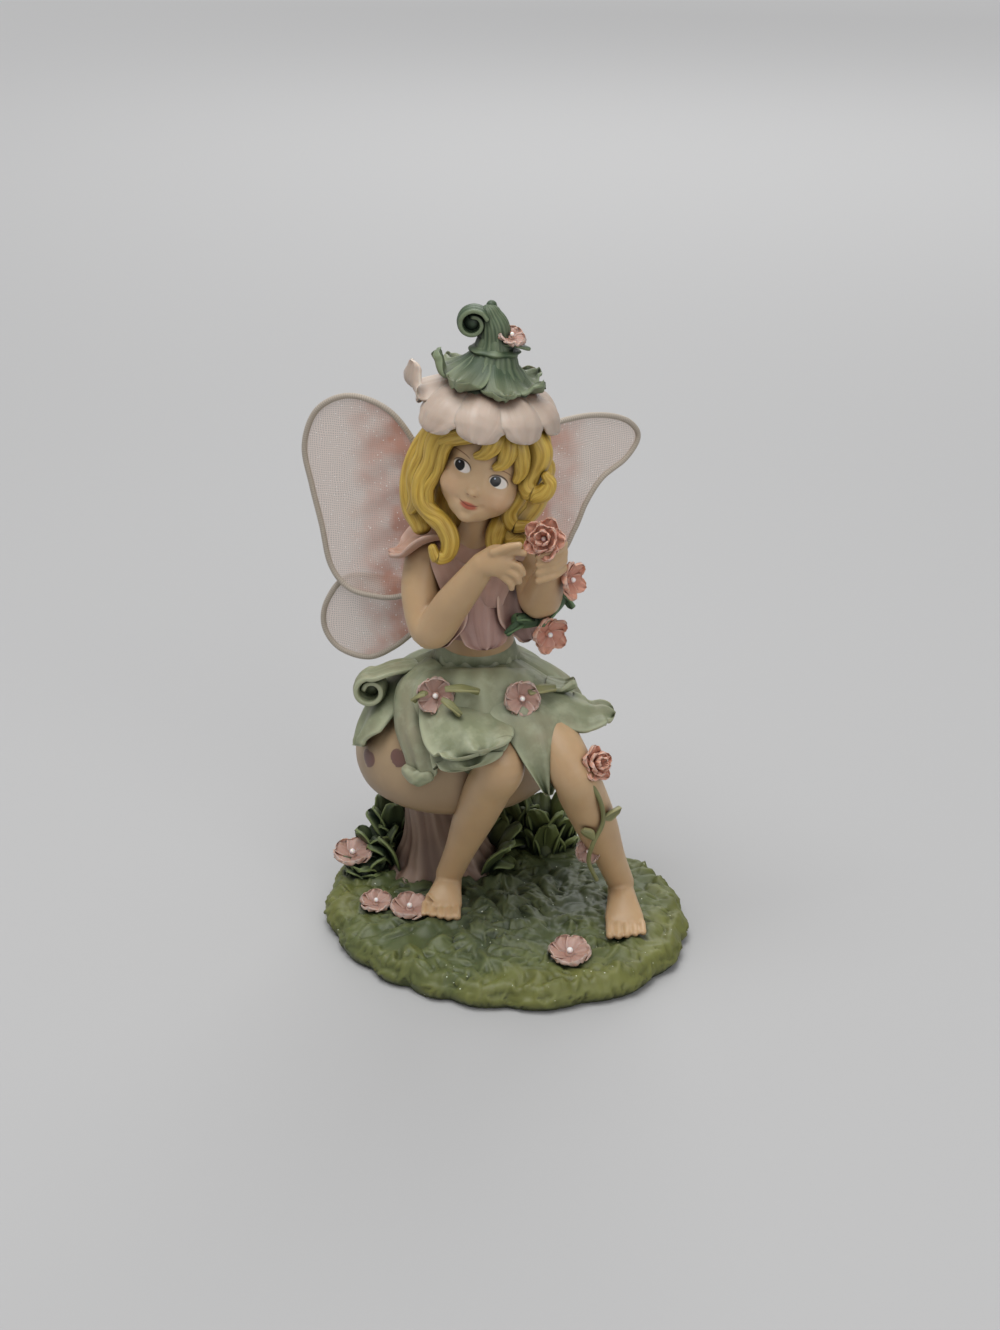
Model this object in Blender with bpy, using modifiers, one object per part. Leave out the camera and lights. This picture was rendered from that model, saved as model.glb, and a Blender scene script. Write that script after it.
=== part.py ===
# Fairy figurine: one resin casting of a fairy on a toadstool, with wire and net wings and glued flowers.
# Every size is in millimetres. MM turns it into Blender's metres where a mesh is made.
import math

import bmesh
import bpy
from mathutils import Matrix, Vector, noise
from mathutils.bvhtree import BVHTree

MM = 0.001

# Ground that everything stands on
BASE_LENGTH = 83.6
BASE_BREADTH = 73.6
BASE_TURN_DEG = -35.0
BASE_RIM_HEIGHT = 4.8
BASE_CROWN_HEIGHT = 7.4
EDGE_TUFTS = 17
EDGE_TUFT_DEPTH = 1.5
TURF_HEIGHT = 1.1
TURF_PITCH = 4.6

# Toadstool: its middle on the ground, and its sizes
CAP_CENTRE = (-10.5, 14.0)
CAP_RADIUS = 22.3
CAP_HEIGHT = 21.6
STEM_HEIGHT = 21.0
STEM_RADIUS = 8.6
STEM_FOOT_RADIUS = 12.5
STEM_FLUTES = 9

# The fairy sits forward of the cap's middle; her own pieces are measured from that seat
SEAT_FROM_CAP = (4.5, -7.0)

# Head and hat
HEAD_CENTRE = (2.5, -6.4, 57.0)
HEAD_ROLL_DEG = 20.0
HEAD_PITCH_DEG = -5.0
HEAD_YAW_DEG = -8.0
HAT_CENTRE = (1.6, -5.6, 66.4)
HAT_ROLL_DEG = 12.0
HAT_PETALS = 9
HAT_PETAL_THICKNESS = 1.1
TURNED_UP_PETAL = 4
BRIM_RADIUS = 15.2
BRIM_LIFT = 1.9
BRIM_TILT = 1.5
CALYX_LOBES = 7
CALYX_RADIUS = 9.3
CALYX_SHIFT = -0.8
CALYX_HEIGHT = 13.0
LOBE_FLARES = {0: 0.8, 3: 2.6, 6: 1.2}

# Dress
PANEL_THICKNESS = 1.5
BODICE_THICKNESS = 1.1

# Wings: a wire loop round each net
WIRE_RADIUS = 0.6
NET_THICKNESS = 0.5
NET_START = 4.6
WING_ROOT_DEPTH = 2.8

# Glued flowers and beads
FLOWER_RADIUS = 3.8
FLOWER_PETALS = 5
PETAL_THICKNESS = 0.7
STUB_RADIUS = 1.0
STUB_DEPTH = 1.3
BEAD_RADIUS = 0.62
GLUE_GAP = 0.3

# Casting: grain of the joined sculpture and its number of facets
CAST_GRAIN = 0.5
CAST_FACETS = 7700

SEAT = Vector((CAP_CENTRE[0] + SEAT_FROM_CAP[0], CAP_CENTRE[1] + SEAT_FROM_CAP[1],
               BASE_CROWN_HEIGHT + STEM_HEIGHT + CAP_HEIGHT))

RESIN_COLOURS = {
    "turf": (0.22, 0.27, 0.12),
    "flower_pink": (0.62, 0.36, 0.31),
    "bead_white": (0.85, 0.82, 0.80),
    "wire_wrap": (0.52, 0.47, 0.42),
    "net_pink": (0.78, 0.62, 0.60),
}


# Scene and materials

def clear_scene():
    for obj in list(bpy.data.objects):
        bpy.data.objects.remove(obj)


def new_collection(name):
    made = bpy.data.collections.new(name)
    bpy.context.scene.collection.children.link(made)
    return made


def plain_material(name, colour, roughness):
    material = bpy.data.materials.new(name)
    material.use_nodes = True
    shader = material.node_tree.nodes["Principled BSDF"]
    shader.inputs["Base Color"].default_value = (*colour, 1.0)
    shader.inputs["Roughness"].default_value = roughness
    return material


def object_from_bmesh(name, bm, collection):
    bmesh.ops.recalc_face_normals(bm, faces=bm.faces)
    mesh = bpy.data.meshes.new(name)
    bm.to_mesh(mesh)
    bm.free()
    obj = bpy.data.objects.new(name, mesh)
    collection.objects.link(obj)
    return obj


def evaluated_mesh(obj):
    bpy.context.view_layer.update()
    graph = bpy.context.evaluated_depsgraph_get()
    mesh = bpy.data.meshes.new_from_object(obj.evaluated_get(graph))
    mesh.transform(obj.matrix_world)
    return mesh


# Smooth rows through stations, for lofts and petals

def row_at(rows, t):
    """A Catmull-Rom row at t, from 0 at the first row to 1 at the last."""
    place = min(max(t, 0.0), 1.0) * (len(rows) - 1)
    i = min(int(place), len(rows) - 2)
    f = place - i
    before, here, after, beyond = (rows[max(i - 1, 0)], rows[i], rows[i + 1], rows[min(i + 2, len(rows) - 1)])
    return [
        0.5 * (2 * b + (c - a) * f + (2 * a - 5 * b + 4 * c - d) * f * f + (3 * b - a - 3 * c + d) * f ** 3)
        for a, b, c, d in zip(before, here, after, beyond)
    ]


def frame_at(rows, t, across):
    """Centre, across, normal and tangent of a loft's section at t."""
    step = 0.02
    centre = Vector(row_at(rows, t)[:3])
    tangent = Vector(row_at(rows, t + step)[:3]) - Vector(row_at(rows, t - step)[:3])
    tangent.normalize()
    side = Vector(across)
    side = (side - side.dot(tangent) * tangent).normalized()
    return centre, side, tangent.cross(side), tangent


def add_ring(bm, centre, side, normal, half_width, half_depth, sides):
    axes = Matrix((side * half_width, normal * half_depth, side.cross(normal))).transposed().to_4x4()
    made = bmesh.ops.create_circle(bm, cap_ends=False, segments=sides, radius=1.0,
                                   matrix=Matrix.Translation(centre) @ axes)
    return list({edge for vert in made["verts"] for edge in vert.link_edges})


def loft(name, collection, stations, across=(1, 0, 0), spans=3, sides=12):
    """A closed form through oval sections: x, y, z, half width and, where it differs, half depth."""
    rows = [list(s) + [s[3]] * (5 - len(s)) for s in stations]
    bm = bmesh.new()
    count = spans * (len(rows) - 1)
    rings = []
    for end, angles in ((0.0, (80, 50, 25)), (None, ()), (1.0, (25, 50, 80))):
        if end is None:
            for k in range(count + 1):
                t = k / count
                centre, side, normal, _ = frame_at(rows, t, across)
                half_width, half_depth = row_at(rows, t)[3:5]
                rings.append(add_ring(bm, centre * MM, side, normal, half_width * MM, half_depth * MM, sides))
            continue
        centre, side, normal, tangent = frame_at(rows, end, across)
        half_width, half_depth = row_at(rows, end)[3:5]
        outward = tangent if end else -tangent
        for angle in angles:
            shrink, reach = math.cos(math.radians(angle)), math.sin(math.radians(angle))
            tip = centre + outward * min(half_width, half_depth) * reach
            rings.append(add_ring(bm, tip * MM, side, normal, half_width * shrink * MM,
                                  half_depth * shrink * MM, sides))
    for first, second in zip(rings, rings[1:]):
        bmesh.ops.bridge_loops(bm, edges=first + second)
    bmesh.ops.holes_fill(bm, edges=bm.edges, sides=0)
    return object_from_bmesh(name, bm, collection)


def petal(name, collection, stations, across=(1, 0, 0), thickness=1.2, cuts=(8, 12), ripple=0.0):
    """A cupped sheet along a spine. A station is x, y, z, half width and how far the edges rise."""
    rows = [list(s) for s in stations]
    bm = bmesh.new()
    bmesh.ops.create_grid(bm, x_segments=cuts[0], y_segments=cuts[1], size=1.0)
    for vert in bm.verts:
        s, t = vert.co.x, (vert.co.y + 1) / 2
        centre, side, normal, _ = frame_at(rows, t, across)
        half_width, cup = row_at(rows, t)[3:5]
        wave = ripple * t * math.sin(3 * math.pi * s)
        vert.co = (centre + side * half_width * s + normal * (cup * s * s + wave)) * MM
    obj = object_from_bmesh(name, bm, collection)
    skin = obj.modifiers.new("thickness", "SOLIDIFY")
    skin.thickness = thickness * MM
    skin.offset = 0.0
    return obj


def ellipsoid(name, collection, centre, radii, turn=None):
    bm = bmesh.new()
    size = Matrix.Diagonal((*(r * MM for r in radii), 1.0))
    place = Matrix.Translation(Vector(centre) * MM)
    matrix = place @ (turn.to_4x4() if turn else Matrix.Identity(4)) @ size
    bmesh.ops.create_uvsphere(bm, u_segments=20, v_segments=14, radius=1.0, matrix=matrix)
    return object_from_bmesh(name, bm, collection)


def turned(name, collection, profile, centre, shape, steps=72):
    """Spins an x, z profile about an upright axis, then moves each point by shape(radius, angle, z)."""
    bm = bmesh.new()
    verts = [bm.verts.new((x * MM, 0.0, z * MM)) for x, z in profile]
    edges = [bm.edges.new(pair) for pair in zip(verts, verts[1:])]
    bmesh.ops.spin(bm, geom=verts + edges, cent=(0, 0, 0), axis=(0, 0, 1), angle=2 * math.pi,
                   steps=steps, use_merge=True)
    bmesh.ops.remove_doubles(bm, verts=bm.verts, dist=0.00001)
    for vert in bm.verts:
        x, y, z = vert.co / MM
        radius, z = shape(math.hypot(x, y), math.atan2(y, x), z)
        angle = math.atan2(y, x)
        vert.co = Vector((centre[0] + radius * math.cos(angle), centre[1] + radius * math.sin(angle), z)) * MM
    return object_from_bmesh(name, bm, collection)


# Frames of the figure

def from_seat(stations):
    """Stations measured from the seat, put in the part's own frame."""
    return [(s[0] + SEAT.x, s[1] + SEAT.y, s[2] + SEAT.z, *s[3:]) for s in stations]


def turned_frame(centre, roll, pitch=0.0, yaw=0.0):
    turn = (Matrix.Rotation(math.radians(yaw), 4, "Z") @ Matrix.Rotation(math.radians(pitch), 4, "X")
            @ Matrix.Rotation(math.radians(roll), 4, "Y"))
    return Matrix.Translation(SEAT + Vector(centre)) @ turn


def in_frame(frame, stations):
    return [(*(frame @ Vector(s[:3])), *s[3:]) for s in stations]


HEAD = turned_frame(HEAD_CENTRE, HEAD_ROLL_DEG, HEAD_PITCH_DEG, HEAD_YAW_DEG)
HAT = turned_frame(HAT_CENTRE, HAT_ROLL_DEG)


# Ground

def rim_radius(angle):
    """Reach of the oval base from its middle, in a direction."""
    turned_angle = angle - math.radians(BASE_TURN_DEG)
    half_length, half_breadth = BASE_LENGTH / 2, BASE_BREADTH / 2
    return half_length * half_breadth / math.hypot(half_breadth * math.cos(turned_angle),
                                                   half_length * math.sin(turned_angle))


def ground_height(x, y):
    """Height of the turf at a place, falling from the crown to the rim."""
    share = min(1.0, math.hypot(x, y) / rim_radius(math.atan2(y, x)))
    return BASE_CROWN_HEIGHT - (BASE_CROWN_HEIGHT - BASE_RIM_HEIGHT) * share ** 3


def turf_lump(x, y):
    """Rise of the grass at a place: clumps with creases between them."""
    return TURF_HEIGHT * (2 * abs(noise.noise(Vector((x / TURF_PITCH, y / TURF_PITCH, 0.4)))) - 0.3)


def ground(forms):
    under = -2.0
    rim = BASE_RIM_HEIGHT
    profile = [(0, under), (0.94, under), (0.965, 0.0), (1.0, rim * 0.45), (0.985, rim * 0.85), (0.93, rim)]
    profile += [(0.86 - 0.08 * k, rim + 0.1) for k in range(11)]
    profile += [(0, rim + 0.1)]

    def shape(share, angle, z):
        oval = rim_radius(angle)
        tuft = abs(math.sin(EDGE_TUFTS * angle / 2 + 0.7 * math.sin(3 * angle)))
        reach = oval - EDGE_TUFT_DEPTH * (1.0 - tuft) * share ** 4
        x, y = share * reach * math.cos(angle), share * reach * math.sin(angle)
        if z >= rim:
            z = ground_height(x, y) + turf_lump(x, y) * min(1.0, 12 * (1 - share)) + z - rim - 0.1
        return share * reach, z

    turned("ground", forms, profile, (0, 0), shape, 144)


# Toadstool

def toadstool(forms):
    under = BASE_CROWN_HEIGHT + STEM_HEIGHT
    cap_profile = [(0.0, 0.14), (0.4, 0.08), (0.76, 0.0), (0.92, 0.06), (0.985, 0.18), (1.0, 0.34),
                   (0.975, 0.54), (0.89, 0.74), (0.74, 0.89), (0.5, 0.97), (0.25, 1.0), (0.0, 1.0)]

    def cap_shape(share, angle, z):
        dent = 1.0 + 0.02 * math.sin(3 * angle + 0.6)
        return share * CAP_RADIUS * dent, under + z * CAP_HEIGHT - 0.8 * share * math.sin(angle + 0.4)

    turned("cap", forms, cap_profile, CAP_CENTRE, cap_shape)
    foot, neck = STEM_FOOT_RADIUS, STEM_RADIUS
    stem_profile = [(0.0, 2.0), (foot, 2.0), (foot, 6.5), (foot * 0.84, 10.0), (neck, 15.0),
                    (neck * 0.97, under - 4.0), (neck * 1.15, under + 3.0), (0.0, under + 3.0)]

    def stem_shape(radius, angle, z):
        flute = 1.0 + 0.07 * math.sin(STEM_FLUTES * angle + 0.25 * z)
        return radius * flute, z

    turned("stem", forms, stem_profile, (CAP_CENTRE[0] - 3.0, CAP_CENTRE[1] + 2.0), stem_shape)


# Body, head and limbs

def torso(forms):
    loft("torso", forms, from_seat([
        (0.5, 1.0, -2.0, 12.0, 9.5), (0.5, 0.5, 4.0, 11.5, 9.0), (0.0, 0.0, 10.0, 8.6, 6.8),
        (0.0, -0.8, 16.0, 7.9, 6.4), (-0.5, -0.8, 24.0, 8.8, 6.8), (-1.0, -0.8, 31.0, 9.8, 6.6),
        (-1.0, -1.4, 36.0, 8.8, 5.2), (-0.4, -3.0, 39.5, 4.2, 3.8), (0.2, -5.0, 43.0, 3.3),
        (1.0, -6.0, 48.0, 3.4)]), sides=24)


def arms_and_hands(forms):
    arms = {
        "right_arm": [(-10.6, -2.0, 34.8, 4.2), (-11.6, -5.5, 28.0, 4.1), (-9.4, -11.0, 21.6, 4.0),
                      (-4.6, -15.0, 29.5, 3.8), (1.6, -19.0, 39.5, 2.7)],
        "left_arm": [(9.0, -1.0, 35.0, 4.1), (11.8, -6.0, 31.0, 4.1), (13.2, -10.5, 28.6, 4.3),
                     (14.4, -14.0, 33.0, 3.7), (15.2, -16.6, 37.5, 2.7)],
        "right_palm": [(1.4, -19.2, 39.6, 2.6, 2.2), (4.2, -20.6, 41.0, 3.3, 2.0),
                       (6.6, -21.0, 40.8, 3.0, 1.6)],
        "left_palm": [(15.2, -16.4, 37.0, 2.8, 2.5), (16.0, -17.4, 41.0, 3.0, 2.6),
                      (15.4, -18.0, 43.8, 2.4, 2.0)],
    }
    for name, stations in arms.items():
        loft(name, forms, from_seat(stations), across=(0.4, 0.6, 0.7) if "arm" in name else (0.3, 0.2, 1.0))
    fingers = {
        "right_index": [(5.6, -21.0, 42.4, 1.0), (8.0, -21.6, 43.4, 0.95), (9.8, -22.0, 43.2, 0.8)],
        "right_middle": [(5.8, -21.4, 41.0, 1.0), (8.4, -22.0, 40.4, 0.95), (9.2, -21.8, 38.6, 0.85)],
        "right_ring": [(5.6, -21.4, 39.6, 1.0), (8.0, -22.0, 38.6, 0.95), (8.6, -21.6, 37.0, 0.85)],
        "right_little": [(5.2, -21.2, 38.4, 0.95), (7.0, -21.6, 37.2, 0.85), (7.4, -21.2, 36.0, 0.75)],
        "right_thumb": [(3.6, -21.4, 42.6, 1.1), (6.6, -22.2, 44.0, 1.0), (8.8, -22.6, 44.6, 0.85)],
    }
    for k in range(4):
        drop = 1.75 * k
        fingers[f"left_finger_{k}"] = [(17.8, -17.6, 43.4 - drop, 1.05), (15.6, -20.4, 43.0 - drop, 1.05),
                                       (12.6, -20.6, 42.0 - drop, 0.9)]
    for name, stations in fingers.items():
        loft(name, forms, from_seat(stations), across=(0, 0, 1), sides=8)


def legs_and_feet(forms):
    # Thighs and knees are measured from the seat, and shins end on the ground.
    hips_and_knees = {
        "right": [(-5.0, -1.0, 3.0, 7.0), (0.0, -11.0, 0.5, 6.4), (5.0, -20.0, -4.6, 5.2)],
        "left": [(7.0, -1.0, 3.0, 7.0), (14.0, -12.0, -0.5, 6.2), (20.0, -20.0, -6.6, 5.0)],
    }
    ankles = {"right": (-12.2, -1.6), "left": (25.2, -4.2)}
    toes_from_ankle = {"right": (-1.6, -8.0), "left": (0.6, -12.4)}
    for side, upper in hips_and_knees.items():
        knee = Vector(from_seat([upper[-1]])[0][:3])
        x, y = ankles[side]
        ground_z = ground_height(x, y)
        ankle = Vector((x, y, ground_z + 5.4))
        shin = [(*knee.lerp(ankle, share), radius) for share, radius in
                ((0.22, 5.0), (0.5, 4.5), (0.78, 3.3))]
        # The calf stands a little behind the straight line from knee to ankle.
        shin = [(px, py + bow, pz, r) for (px, py, pz, r), bow in zip(shin, (0.6, 1.2, 0.4))]
        loft(f"{side}_leg", forms, from_seat(upper) + shin + [(*ankle, 2.9)], sides=16)
        dx, dy = toes_from_ankle[side]
        loft(f"{side}_foot", forms, [
            (x, y + 1.6, ground_z + 3.0, 2.8, 3.0), (x + dx * 0.3, y + dy * 0.3, ground_z + 3.0, 3.3, 2.9),
            (x + dx * 0.7, y + dy * 0.7, ground_z + 1.7, 4.2, 1.9),
            (x + dx, y + dy, ground_z + 1.0, 4.2, 1.3)])
        inner = 1.0 if side == "right" else -1.0
        for k in range(5):
            spread = inner * (3.3 - 1.75 * k)
            thick = 1.2 - 0.1 * k
            back = 0.5 * abs(k - 0.6)
            tip = (x + dx + spread, y + dy - 3.0 + back, ground_z + 0.9)
            root = (x + dx + spread * 0.95, y + dy + 0.8, ground_z + 1.2)
            loft(f"{side}_toe_{k}", forms, [(*root, thick), (*tip, thick * 0.95)], sides=8)


def head(forms):
    skull = HEAD.to_3x3()
    lumps = {
        "skull": ((0, 2.0, 2.0), (9.8, 10.6, 11.0)),
        "face": ((0, -2.2, -3.4), (8.6, 7.4, 8.0)),
        "jaw": ((0, -4.4, -7.2), (5.4, 4.6, 4.6)),
        "chin": ((0, -6.2, -9.4), (2.6, 2.4, 2.4)),
        "cheek_right": ((-4.3, -5.6, -4.4), (3.4, 3.0, 3.4)),
        "cheek_left": ((4.3, -5.6, -4.4), (3.4, 3.0, 3.4)),
        "nose": ((0, -9.5, -3.2), (1.1, 1.4, 1.1)),
    }
    for name, (centre, radii) in lumps.items():
        ellipsoid(name, forms, HEAD @ Vector(centre), radii, skull)


def hair(forms):
    ellipsoid("hair_cap", forms, HEAD @ Vector((0.3, 4.4, 1.6)), (11.2, 10.6, 12.0), HEAD.to_3x3())
    locks = {
        "right_outer": [(-9.4, -2.0, 8.0, 2.8, 2.6), (-11.6, -2.4, 2.0, 3.0, 2.8),
                        (-11.8, -2.2, -3.0, 2.6, 2.6), (-12.2, -1.6, -8.0, 2.4, 2.6),
                        (-10.6, -2.0, -12.0, 2.0, 2.2), (-11.0, -1.0, -15.0, 1.2, 1.4)],
        "right_middle": [(-8.4, -5.0, 7.4, 2.4, 2.0), (-10.6, -5.2, 2.0, 2.5, 2.2),
                         (-10.4, -5.0, -3.0, 2.0, 1.9), (-10.8, -4.6, -7.4, 2.0, 1.9),
                         (-9.8, -4.6, -11.0, 2.0, 1.9), (-7.0, -4.4, -13.2, 2.0, 1.8),
                         (-3.4, -4.8, -14.6, 2.1, 1.8),
                         (-1.0, -5.2, -17.2, 2.0, 1.7), (-0.8, -5.2, -20.0, 1.7, 1.5),
                         (-2.4, -5.6, -21.2, 1.4, 1.3), (-3.8, -5.8, -19.8, 1.0, 1.0)],
        "right_face": [(-7.6, -6.4, 6.0, 1.5, 1.4), (-9.0, -6.2, 1.0, 1.5, 1.4), (-8.4, -5.8, -4.0, 1.2, 1.2),
                       (-9.2, -5.2, -8.4, 1.4, 1.3), (-8.0, -4.4, -12.0, 1.4, 1.3)],
        "right_back": [(-10.0, 2.0, 4.0, 4.0, 3.0), (-12.0, 3.0, -4.0, 4.2, 3.4),
                       (-12.4, 3.0, -10.0, 3.6, 3.0), (-10.4, 1.6, -15.0, 3.2, 2.6),
                       (-8.0, 0.0, -18.0, 2.2, 2.0)],
        "fringe_right": [(-1.0, -8.4, 8.6, 1.6, 1.5), (-4.6, -8.4, 6.4, 1.9, 1.5),
                         (-8.0, -7.0, 3.8, 1.7, 1.4), (-10.6, -5.6, 1.4, 1.5, 1.4)],
        "fringe_a": [(0.6, -8.0, 9.6, 1.7, 1.3), (0.4, -9.6, 6.8, 2.0, 1.2), (-0.6, -9.5, 4.2, 1.5, 0.9),
                     (-2.2, -9.2, 2.8, 0.8, 0.6)],
        "fringe_b": [(2.0, -8.0, 9.6, 1.7, 1.3), (3.4, -9.3, 6.4, 2.0, 1.2), (3.4, -8.9, 3.6, 1.5, 1.0),
                     (2.2, -9.0, 2.0, 0.8, 0.6)],
        "fringe_c": [(3.6, -7.6, 9.4, 1.8, 1.4), (6.0, -8.0, 6.0, 1.9, 1.4), (7.2, -7.0, 3.0, 1.5, 1.2),
                     (7.0, -6.8, 0.6, 0.9, 0.8)],
        "left_side": [(6.6, -4.0, 9.4, 2.8, 2.4), (9.0, -4.0, 6.8, 3.0, 2.6), (9.2, -3.8, 3.2, 2.6, 2.4),
                      (9.3, -4.6, 0.2, 2.2, 2.0), (11.0, -5.2, -1.2, 2.0, 1.8), (13.0, -5.4, 0.0, 1.9, 1.8),
                      (13.4, -5.4, 2.2, 1.5, 1.5), (12.2, -5.6, 3.4, 1.0, 1.2)],
        "left_inner": [(8.2, -3.0, 4.0, 2.0, 2.0), (8.6, -3.0, -2.0, 1.9, 2.0), (7.8, -2.6, -7.0, 1.7, 1.8),
                       (9.6, -2.6, -9.6, 1.5, 1.5), (12.4, -2.6, -8.6, 1.1, 1.2)],
        "left_back": [(9.4, 3.0, 2.0, 4.0, 3.4), (10.4, 3.6, -5.0, 3.8, 3.2), (9.4, 1.0, -10.0, 3.2, 2.8),
                      (10.6, -1.0, -12.6, 2.4, 2.2), (13.2, -1.6, -12.4, 1.4, 1.4)],
        "left_low": [(8.4, 1.0, -6.0, 2.6, 2.4), (7.2, -1.0, -11.0, 2.4, 2.2), (7.4, -2.0, -15.0, 1.9, 1.9),
                     (9.6, -2.6, -17.0, 1.2, 1.3)],
        "nape": [(0.0, 8.0, 0.0, 9.0, 5.0), (-0.6, 8.6, -8.0, 9.4, 5.0), (-1.4, 8.4, -15.0, 8.6, 4.2),
                 (-2.0, 7.4, -20.0, 5.0, 2.8)],
    }
    for name, stations in locks.items():
        loft(f"lock_{name}", forms, in_frame(HEAD, stations), across=HEAD.to_3x3() @ Vector((1, 0, 0)))


# Hat: a ring of petals, a green calyx over them and a curled stalk

def hat(forms):
    rim = BRIM_RADIUS
    for k in range(HAT_PETALS):
        angle = 2 * math.pi * (k + 0.625) / HAT_PETALS
        out = Vector((math.cos(angle), math.sin(angle), 0))
        rows = ((3.5, 8.0, 1.8, 0.0), (rim * 0.56, 6.2, 4.4, -0.9), (rim * 0.82, 3.7, 5.8, -2.1),
                (rim * 0.93, 1.2, 5.4, -1.6), (rim, -0.6, 3.4, -0.2))
        if k == TURNED_UP_PETAL:
            rows = ((3.5, 8.0, 1.8, 0.0), (rim * 0.6, 5.8, 4.6, -0.8), (rim * 0.92, 3.6, 5.0, -0.6),
                    (rim * 1.06, 4.4, 4.6, 0.8), (rim * 1.07, 7.4, 2.6, 1.0))
        lift = BRIM_LIFT + BRIM_TILT * out.x
        stations = [(out.x * r, out.y * r, z + lift * share, w, c)
                    for (r, z, w, c), share in zip(rows, (0.0, 0.25, 0.6, 0.9, 1.0))]
        tangent = HAT.to_3x3() @ Vector((-out.y, out.x, 0))
        petal(f"hat_petal_{k}", forms, in_frame(HAT, stations), tangent, HAT_PETAL_THICKNESS)
    top = CALYX_HEIGHT
    cone = [(0, -0.2, 3.6, 10.0), (-0.2, 0, 8.0, 8.0), (-0.5, 0, 11.0, 5.8), (-0.6, 0, top, 4.7),
            (-1.0, 0, top + 3.0, 3.4), (-1.8, 0, top + 6.0, 3.0), (-3.0, 0, top + 8.0, 2.2)]
    loft("calyx_cone", forms, in_frame(HAT, cone), sides=20)
    for k in range(CALYX_LOBES):
        angle = 2 * math.pi * (k + 0.6) / CALYX_LOBES
        out = Vector((math.cos(angle), math.sin(angle), 0))
        flare = LOBE_FLARES.get(k, 0.0)
        stations = [(out.x * r + CALYX_SHIFT, out.y * r, z, w, c) for r, z, w, c in (
            (3.8, 13.0, 2.2, -0.2), (CALYX_RADIUS * 0.62, 10.8, 3.8, -0.9),
            (CALYX_RADIUS * 0.96, 8.8, 4.3, -0.9), (CALYX_RADIUS * 1.16, 8.2 + flare, 2.6, 0.2))]
        tangent = HAT.to_3x3() @ Vector((-out.y, out.x, 0))
        petal(f"calyx_lobe_{k}", forms, in_frame(HAT, stations), tangent, HAT_PETAL_THICKNESS)
    collar = [(-0.6, 0, top + 0.4, 4.6, 4.2), (-0.7, 0, top + 1.2, 5.2, 4.7), (-0.8, 0, top + 2.0, 4.0, 3.6)]
    loft("calyx_collar", forms, in_frame(HAT, collar), sides=20)
    curl = []
    for k in range(14):
        angle = math.radians(30 + 33 * k)
        radius = 3.1 - 0.13 * k
        curl.append((-6.1 + radius * math.cos(angle), -0.6, top + 5.9 + radius * math.sin(angle),
                     2.7 - 0.08 * k, 0.0))
    turned_up = HAT.to_3x3() @ Vector((0, 1, 0))
    petal("stalk_curl", forms, in_frame(HAT, curl), turned_up, HAT_PETAL_THICKNESS + 0.2, cuts=(6, 48))
    loft("stalk_knob", forms, in_frame(HAT, [(-3.4, 0.6, top + 7.4, 2.0), (-2.9, 0.6, top + 8.8, 1.3),
                                             (-3.1, 0.6, top + 9.7, 1.1)]))
    ellipsoid("stalk_curl_back", forms, HAT @ Vector((-6.1, 1.4, top + 5.9)), (2.7, 1.5, 2.7), HAT.to_3x3())
    leaf_rows = [(0.0, -0.8, top + 2.8, 1.6, 0.0), (2.6, -1.4, top + 3.4, 2.2, 0.3),
                 (5.4, -1.6, top + 3.2, 0.9, 0.0)]
    petal("stalk_leaf", forms, in_frame(HAT, leaf_rows), turned_up, HAT_PETAL_THICKNESS)


# Dress: bodice petals, a waistband, and skirt panels over a solid core

def bodice(forms):
    waist_x, waist_y = -0.6, -0.9
    for k, degrees in enumerate((-130, -79, -28, 22, 75, 130, 182)):
        angle = math.radians(degrees)
        out = Vector((math.cos(angle) * 1.25, math.sin(angle) * 0.92, 0))
        stations = [(waist_x + out.x * r, waist_y + out.y * r, z, w, c) for r, z, w, c in (
            (7.3, 33.0, 4.0, -0.8), (7.8, 28.0, 5.0, -1.3), (8.2, 23.0, 5.0, -1.1), (9.2, 18.8, 2.8, 0.3))]
        sideways = Vector((-math.sin(angle), math.cos(angle), 0))
        petal(f"bodice_petal_{k}", forms, from_seat(stations), sideways, BODICE_THICKNESS)
    sleeves = {
        "right": [(-5.6, -2.0, 39.6, 4.0, -0.8), (-10.4, -3.4, 38.8, 5.6, -2.6),
                  (-14.8, -4.0, 36.2, 4.4, -1.6), (-17.4, -4.0, 36.2, 1.8, 0.2)],
        "left": [(5.6, -1.6, 39.0, 3.6, -0.8), (9.0, -2.2, 38.6, 4.8, -2.6), (12.6, -2.4, 36.2, 3.6, -1.8),
                 (14.4, -2.2, 36.4, 1.0, 0.0)],
    }
    for side, stations in sleeves.items():
        petal(f"{side}_sleeve", forms, from_seat(stations), (0, 1, 0), BODICE_THICKNESS)
    loft("bodice_core", forms, from_seat([
        (-0.4, -0.8, 20.0, 8.4, 7.0), (-0.6, -0.8, 27.0, 9.4, 7.3), (-1.0, -0.8, 33.0, 10.1, 6.9),
        (-1.0, -1.2, 35.6, 9.2, 5.8)]), sides=24)
    for side, x in (("right", -6.4), ("left", 5.6)):
        petal(f"{side}_strap", forms, from_seat([
            (x * 1.1, -1.0, 38.6, 2.6, -0.6), (x, -6.2, 36.0, 3.2, -0.6), (x * 0.62, -8.2, 31.0, 3.8, -0.6),
            (x * 0.5, -8.8, 27.0, 2.4, 0.0)]), thickness=BODICE_THICKNESS)


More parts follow.
